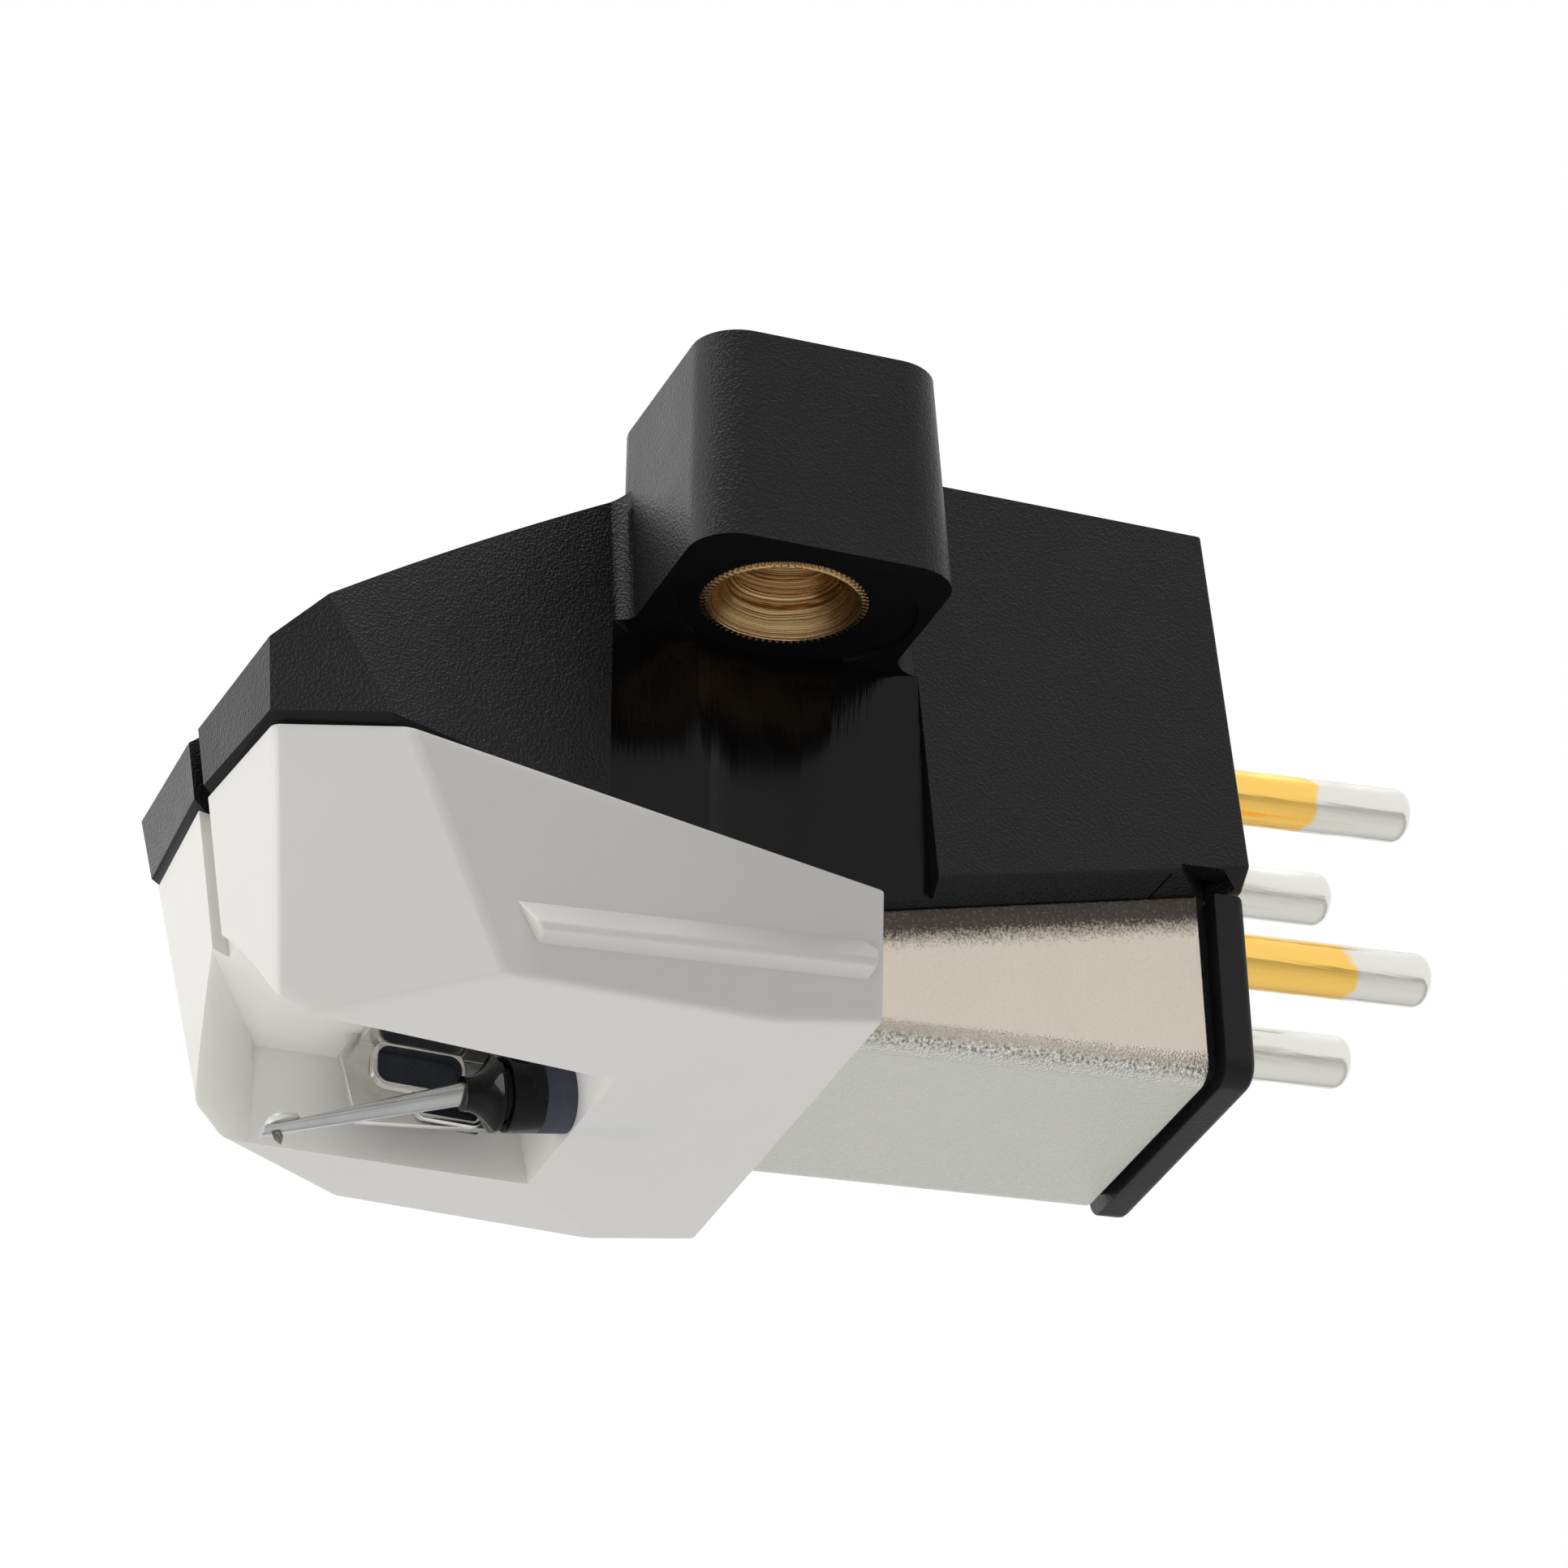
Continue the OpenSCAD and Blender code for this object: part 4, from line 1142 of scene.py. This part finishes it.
# %% The faceted nose
nose = block("nose", (-9, -16, -13), (9, -2.7, 0.5))
slice_off(nose, both(nose_front) + both(nose_corner) + both(nose_side) + [seam_below])
combine_both(nose, front_fillet, "UNION")
arch_root, arch_tip, arch_radius = Vector((-2.95, -1.65)), Vector((-11.65, -7.6)), 110
chord = arch_root - arch_tip
drop = math.sqrt(arch_radius**2 - chord.length**2 / 4)
arch_centre = (arch_root + arch_tip) / 2 + drop * Vector((chord.y, -chord.x)).normalized()
arch = rod("arch", arch_radius, (-12, *arch_centre), (12, *arch_centre), 1440)
combine(nose, arch, "INTERSECT")


def upper_edge(middle, edge):
    return middle.y < -3.6 and off_plane(middle, seam_below) >= 0.05


round_edges(nose, 0.1, upper_edge, 3)
lip_width = 0.2
lip_planes = [
    plane for facet in nose_facets for plane in both(between(facet, seam_below, lip_width))
]
slice_off(nose, lip_planes)
combine(nose, front_groove(proud_front_reach, 0, -17))

# %% [markdown]
# The three solids are joined. Then the screw reliefs are cut under the ears: a leaning flat
# with a round-ended channel in it, so that a screw and its nut pass the body. The channel
# bites a little into the ear's underside. The seats of the inserts and the screws' holes
# follow.

# %% Join the body and cut its reliefs
shell = rear
shell.name = "shell"
combine_both(shell, rear_fillet, "UNION")
combine(shell, ears, "UNION")
combine(shell, nose, "UNION")
slot_radius, slot_run, slot_top = 2.4, 0.65, -5.08


def relief():
    """The flat and the slot under the right ear."""
    flat = block("flat", (3.2, -8, -20), (9.5, 8, -5.195))
    slice_off(flat, [
        plane_at(180, 3, (4.4, 0, -ear_depth)),
        plane_at(-90, 3, (0, -3.38, -ear_depth)),
        plane_at(90, 5.5, (0, 3.45, 0)),
    ])
    slot, slot_end = [
        rod(name, slot_radius, (screw_x, y, -20), (screw_x, y, slot_top), 96)
        for name, y in (("slot", 0), ("slot_end", slot_run))
    ]
    combine(slot, slot_end, "UNION")
    slot_middle = block("slot_middle", (3.95, 0, -20), (screw_x, slot_run, slot_top))
    combine(slot, slot_middle, "UNION")
    return flat, slot


for cutter in relief():
    combine_both(shell, cutter)
for axis in (screw_x, -screw_x):
    combine(shell, rod("seat", 1.94, (axis, 0, -6), (axis, 0, -0.8), 96))
    combine(shell, rod("screw_way", 1.35, (axis, 0, -3), (axis, 0, 2)))
print("shell faces:", len(shell.data.polygons))

# %% [markdown]
# The body is hollow where the generator sits, with a hair of clearance round the can, which
# shows as a thin dark line. Behind the can its underside is cut away for the rear plate. A slot
# and a short seam at the rear of the lower bevel are where the real part's closing plate
# snaps in.

# %% The generator's room in the body
plate_front, plate_top = 10.62, -9.95
cavity = block("cavity", (-3.9, -1.7, -14.5), (3.9, plate_front, -8))
below_plate = block("below_plate", (-20, plate_front, -16), (20, 30, plate_top))
snap = block("snap", (-0.9, -0.37, -10.6), (0.9, 0.37, -9.5))
seam_cut = block("seam_cut", (-0.5, -0.025, -10.6), (0.22, 0.025, -9.55))
for cutter, turn, place in ((snap, -44, (4.45, 10.3, 0)), (seam_cut, 34, (4.3, 9.36, 0))):
    turn_about(cutter, turn, "Z")
    move_to(cutter, place)
    turn_about(cutter, can_tilt)
    combine_both(shell, cutter)
for cutter in (cavity, below_plate):
    turn_about(cutter, can_tilt)
    combine(shell, cutter)
settle(shell, "cartridge", "shell_black", shell_black, "body_shell", smooth=30)

# %% [markdown]
# Three places of the body have another finish. The lip along the parting line is smoother, since
# the mould is polished where its halves close, and it is painted darker as shade. The undersides
# of the ears are duller and painted darker as shade, and the relief's walls are glossy with drag
# lines and painted darker as the shade under the ear. They are chosen by place and direction and
# get their own material slots.


# %% The lip, the ears' undersides and the relief's walls
def on_lip(middle, normal):
    return any(
        off_plane(middle, plane) < 0.02 and normal.dot(plane[0].normalized()) > 0.98
        for plane in lip_planes
    )


def under_ear(middle, normal):
    return normal.z < -0.9 and -5.3 < middle.z < -5.0 and abs(middle.x) > 3.9


def on_relief(middle, normal):
    x, y, z = abs(middle.x), middle.y, middle.z
    low_enough = z < -5.15 and 3.9 < x < 5.2 and -3.37 < y < 3.44
    if not low_enough or abs(normal.z) >= 0.2 or normal.x * middle.x <= 0:
        return False
    from_axis = Vector((x - screw_x, y - min(max(y, 0), slot_run))).length
    flat = plane_at(0, -3, (4.4, 0, -ear_depth))
    return abs(from_axis - slot_radius) < 0.03 or off_plane(Vector((x, y, z)), flat) < 0.03


other_finishes = ((lip_shaded_black, on_lip), (shell_under_shaded, under_ear), (relief_shaded_black, on_relief))
for finish, _ in other_finishes:
    shell.data.materials.append(finish)
counts = [0] * 4
for face in shell.data.polygons:
    matches = [test(face.center / MM, face.normal) for _, test in other_finishes]
    face.material_index = matches.index(True) + 1 if True in matches else 0
    counts[face.material_index] += 1
print("faces per finish:", counts)

# %% [markdown]
# The shield can is one strip of sheet metal bent to a U. A block gets its two long bends, its
# open sides are deleted, and Solidify gives the sheet its thickness. The black plate closes
# the rear end and stands out a little all round.

# %% The shield can
can = block("can", (-3.86, -1.7, -14.5), (3.86, 10.33, -8))
round_edges(can, 0.55, lambda middle, edge: middle.z < -14.4 and abs(middle.x) > 3.8, 8)
bpy.ops.object.mode_set(mode="EDIT")
choose(can, "FACE", lambda face: face.normal.z > 0.9 or abs(face.normal.y) > 0.9)
bpy.ops.mesh.delete(type="FACE")
bpy.ops.object.mode_set(mode="OBJECT")
sheet = can.modifiers.new("sheet", "SOLIDIFY")
sheet.thickness = 0.3
sheet.offset = -1
bpy.ops.object.modifier_apply(modifier=sheet.name)
round_edges(can, 0.05, lambda middle, edge: middle.y > 10.2 and sharp(edge, 60), 2)
turn_about(can, can_tilt)
settle(can, "cartridge", "can_steel", can_steel, "shield_can")

# %% [markdown]
# The rear plate closes the can. It is a black slab with two rounded lower corners and a softer
# rear edge, and it keeps a small distance from the sheet, which reads as a black gap.

# %% The rear plate
plate = block("plate", (-4.16, plate_front, -14.6), (4.16, 11.38, plate_top))
round_edges(plate, 0.6, lambda middle, edge: middle.z < -14.5 and abs(middle.x) > 4.1, 6)
round_edges(plate, 0.2, lambda middle, edge: middle.y > 11.3 and sharp(edge, 60), 4)
round_edges(plate, 0.05, lambda middle, edge: middle.y < 10.7 and sharp(edge, 60), 2)
turn_about(plate, can_tilt)
settle(plate, "cartridge", "plate_black", plate_black, "rear_plate")

# %% [markdown]
# The pins, the inserts and the suspension are round, so they come from the lathe. A contact pin
# is a rod with a rounded end. The two near ones are gold far out, the two far ones tinned
# almost to the body.


# %% The contact pins
upper, lower = (16.45, 6.45), (16.62, 10.66)


def contact_pin(name, side, end, depth, material):
    shank_end, start = 8.62, 11.4
    shank, radius, soft = 0.4, 0.63, 0.35
    outline = [(shank, shank_end), (shank, start), (radius, start)]
    outline += arc((radius - soft, end - soft), soft, soft, 0, 91, 10) + [(0.02, end)]
    pin = turned(name, outline, 48)
    turn_about(pin, -90)
    move_to(pin, (side * 2.33, 0, -depth))
    turn_about(pin, can_tilt)
    settle(pin, "cartridge", "pin_gold", material, name.replace("contact_", "pin_"))


contact_pin("contact_left_upper", -1, *upper, far_pin_metal)
contact_pin("contact_left_lower", -1, *lower, far_pin_metal)
contact_pin("contact_right_upper", 1, *upper, near_upper_metal)
contact_pin("contact_right_lower", 1, *lower, near_lower_metal)

# %% [markdown]
# The screws hold in two threaded brass inserts, pressed into the ears from below. Outside they
# have a knurl, whose teeth bite into the plastic: every second row of the lathe shape's
# corners is drawn inwards. Inside come a cone, which guides the screw, and the thread, here as
# plain rings, since the eye can't tell them from a helix at this size.

# %% The brass inserts
def brass_insert(side, word):
    """A knurled sleeve with a countersunk mouth and a screw thread's rings inside."""
    top, mouth, outer, pitch, sides = -0.8, -5.1, 1.94, 0.36, 144
    outline = [(outer, top), (outer, mouth + 0.07), (1.89, mouth + 0.01)]
    outline += [(1.72, mouth), (1.3, mouth + 0.56)]
    height = mouth + 0.62
    while height < top - pitch:
        outline += [(1.36, height), (1.36, height + 0.08)]
        outline += [(1.14, height + 0.2), (1.14, height + 0.24)]
        height += pitch
    outline += [(1.3, height), (1.3, top)]
    piece = tube_of(f"brass_insert_{word}", outline, sides)

    def between_teeth(corner):
        turn = math.degrees(math.atan2(corner.co.y, corner.co.x))
        return round(turn * sides / 360) % 2 and corner.co.xy.length > 1.86

    bpy.ops.object.mode_set(mode="EDIT")
    choose(piece, "VERT", between_teeth)
    bpy.ops.transform.resize(value=(0.91, 0.91, 1), center_override=(0, 0, 0))
    face_outwards()
    move_to(piece, (side * screw_x, 0, 0))
    settle(piece, "cartridge", "insert_brass", insert_brass, f"insert_{word}", smooth=25)


brass_insert(-1, "left")
brass_insert(1, "right")

# %% [markdown]
# The suspension sits in a short black sleeve, which shows below the holder's panel, with a grey
# plug behind it. Both are tubes: the lathe shape's first and last rings are bridged.

# %% The suspension sleeve and its plug
bore, soft, border, plug_back = 0.66, 0.03, 0.6, 1.9
sleeve = tube_of("sleeve", [
    (bore, border), (bore, -0.17), (sleeve_radius - soft, -0.17), (sleeve_radius, -0.14),
    (sleeve_radius, 0.57), (0.85, border),
])
plug = tube_of("plug", [
    (bore, plug_back), (bore, border), (0.85, border), (sleeve_radius, 0.63),
    (sleeve_radius, plug_back),
])
for piece, slot, finish, node in (
    (sleeve, "sleeve_black", sleeve_black, "suspension_sleeve"),
    (plug, "plug_grey", plug_grey, "sleeve_plug"),
):
    turn_about(piece, -90)
    on_arm_axis(piece)
    settle(piece, "stylus_unit", slot, finish, node)

# %% [markdown]
# The hub joins the cantilever to the suspension. It is a small glossy bell: its radius shrinks
# fast behind the rim and slowly towards the neck, so it follows a power curve.

# %% The hub
hub_length, steps = 1.14, 14
bell = [
    (0.4 + 0.47 * (1 - t / steps) ** 2.6, -(0.45 + 0.69 * t / steps)) for t in range(steps + 1)
]
rim = [(0.02, -0.35), (0.84, -0.35), (0.87, -0.38)]
hub = turned("hub", rim + bell + [(0.02, -hub_length)])
turn_about(hub, -90)
on_arm_axis(hub)
settle(hub, "arm", "hub_black", hub_black, "armature_hub")

# %% [markdown]
# The cantilever is a thin aluminium tube. Its last millimetre is squeezed flat and bent level
# with the record, and the stylus is bonded through it under a clear bead. The tube's end ring
# is extruded and scaled flat, as the press does it.

# %% The cantilever
tube_fall = 21
tube_radius, squeezed_from = 0.27, -3.9
tilt = math.radians(arm_tilt)
root = pivot - hub_length * Vector((0, math.cos(tilt), math.sin(tilt)))
tube = turned("tube", [(tube_radius, 0.15), (tube_radius, squeezed_from)], 48, close=False)
turn_about(tube, -90)
bpy.ops.object.mode_set(mode="EDIT")
choose(tube, "VERT", lambda corner: corner.co.y < -3.8)
squeeze = [
    (0.12, 1.03, 0.86), (0.12, 1.08, 0.68), (0.14, 1.1, 0.62), (0.6, 1.0, 1.0), (0.08, 0.92, 0.8),
]
reach = squeezed_from
for step, wider, flatter in squeeze:
    bpy.ops.mesh.extrude_edges_move(TRANSFORM_OT_translate={"value": (0, -step, 0)})
    reach -= step
    bpy.ops.transform.resize(value=(wider, 1, flatter), center_override=(0, reach, 0))
bpy.ops.mesh.edge_face_add()
bpy.ops.object.mode_set(mode="OBJECT")
turn_about(tube, tube_fall)
move_to(tube, root)
settle(tube, "arm", "arm_aluminium", arm_aluminium, "cantilever")

# %% [markdown]
# A drop of clear glue holds the stylus on the flattened end. The drop is half a sphere and the
# stylus a small cone with a tiny rounded point, both from the lathe and laid along the tube.


# %% The bead and the stylus
def on_tube(piece, along, above):
    """Moves a shape made about the origin onto the tube's line, its Z square to it."""
    turn_about(piece, tube_fall)
    fall = math.radians(tube_fall)
    down_tube = Vector((0, -math.cos(fall), -math.sin(fall)))
    square = Vector((0, -math.sin(fall), math.cos(fall)))
    move_to(piece, root + along * down_tube + above * square)


bead_radius, bead_height = 0.42, 0.3
dome = arc((0, 0), bead_radius, bead_height, 0, 90, 9) + [(0.01, bead_height)]
bead = turned("bead", dome, 40)
on_tube(bead, 4.4, 0.08)
settle(bead, "arm", "bond_clear", bond_clear, "tip_bond")
cone = [(0.02, 0.0), (0.11, 0.0), (0.11, -0.12), (0.07, -0.2), (0.012, -0.28)]
stone = turned("stone", cone, 24)
on_tube(stone, 4.6, -0.09)
settle(stone, "arm", "stylus_stone", stylus_stone, "stylus_tip")

# %% [markdown]
# A stamped bracket stands in the opening, with two windows whose rims are raised. Its CAD shape
# is already right, so a copy is taken and only its edges are softened. A dark grey pad lies
# behind the windows, which makes them dark.

# %% The bracket and its pad
bracket = copy_of_node("bracket", "stamped_bracket")
round_edges(bracket, 0.03, lambda middle, edge: sharp(edge, 40), 2)
settle(bracket, "stylus_unit", "bracket_nickel", bracket_nickel, "bracket")
pad = block("window_pad", (-2.3, -6.85, -15.2), (-2.1, -4.0, -13.5))
round_edges(pad, 0.04, lambda middle, edge: sharp(edge, 60), 2)
settle(pad, "stylus_unit", "plug_grey", plug_grey)

# %% [markdown]
# The pieces inside the body keep their CAD shape. They hardly show, but each still gets its own
# finish, because a look through the can's open end or an exploded view would show them.

# %% Finishes of the inner pieces
inner_finishes = {
    "terminal_block": plate_black,
    "screen_plate": lamination_steel,
    "pole_left": lamination_steel,
    "pole_right": lamination_steel,
    "coil_left": coil_copper,
    "coil_right": coil_copper,
    "damper_ring": damper_rubber,
    "suspension_wire": lamination_steel,
    "armature_rod": arm_aluminium,
    "magnet_left": magnet_grey,
    "magnet_right": magnet_grey,
}
for node, finish in inner_finishes.items():
    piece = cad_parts[node]
    piece.data.materials.clear()
    piece.data.materials.append(finish)
print("inner pieces:", len(inner_finishes))

# %% [markdown]
# The part hangs in white space. A pale floor lies well below it. One large soft lamp stands
# before the nose, a little above and to the left, and another hangs overhead; it lights the
# floor, and the floor lights the belly from below. So the faces round the nose are the
# brightest, and the right side is the darkest. A faint lamp on the left shines along the black
# front faces, and a tiny one sparks on the hub.


# %% Floor and lamps
lamp_aim = Vector((0, 0, -0.009))


def soft_lamp(name, place, size, power):
    data = bpy.data.lights.new(name, "AREA")
    data.shape = "DISK"
    data.size = size
    data.energy = power
    lamp = bpy.data.objects.new(name, data)
    lamp.location = place
    lamp.rotation_euler = (lamp_aim - lamp.location).to_track_quat("-Z", "Y").to_euler()
    lamp.visible_camera = False
    bpy.context.scene.collection.objects.link(lamp)


soft_lamp("nose_lamp", (-0.07, -0.44, 0.085), 0.3, 0.84)
soft_lamp("top_lamp", (-0.05, -0.1, 0.6), 0.6, 4.4)
soft_lamp("spark_lamp", (0.2, -0.2, -0.02), 0.009, 0.013)
soft_lamp("edge_lamp", (-0.335, -0.115, 0.186), 0.2, 0.045)

clear_selection()
bpy.ops.mesh.primitive_plane_add(size=4, location=(0, 0, -0.3))
floor = bpy.context.object
floor.name = "floor"
floor.data.materials.append(new_finish("floor_pale", (0.9, 0.9, 0.9), 0.8)[0])
print("lamps:", [light.name for light in bpy.data.lights])

# %% [markdown]
# The world has two strengths. Where the camera, metal or glass looks at it, it is full white,
# which gives the plain background and the bright reflections. For everything else it is a weak
# fill, so that the lamps can shape the white plastic.

# %% The world
world = bpy.data.worlds.new("studio")
bpy.context.scene.world = world
world.use_nodes = True
tree = world.node_tree
tree.nodes.clear()
choice = tree.nodes.new("ShaderNodeMixShader")
fill_strength, white_strength = 0.4, 1.0
for place, strength in ((1, fill_strength), (2, white_strength)):
    background = tree.nodes.new("ShaderNodeBackground")
    background.inputs["Color"].default_value = (1, 1, 1, 1)
    background.inputs["Strength"].default_value = strength
    tree.links.new(background.outputs[0], choice.inputs[place])
ray = tree.nodes.new("ShaderNodeLightPath").outputs
mirrored = maths(tree, "MAXIMUM", ray["Is Glossy Ray"], ray["Is Transmission Ray"])
seen = maths(tree, "MAXIMUM", ray["Is Camera Ray"], mirrored)
tree.links.new(seen, choice.inputs["Fac"])
out = tree.nodes.new("ShaderNodeOutputWorld")
tree.links.new(choice.outputs[0], out.inputs["Surface"])
print("world:", world.name)

# %% [markdown]

# %% The end
print("done")
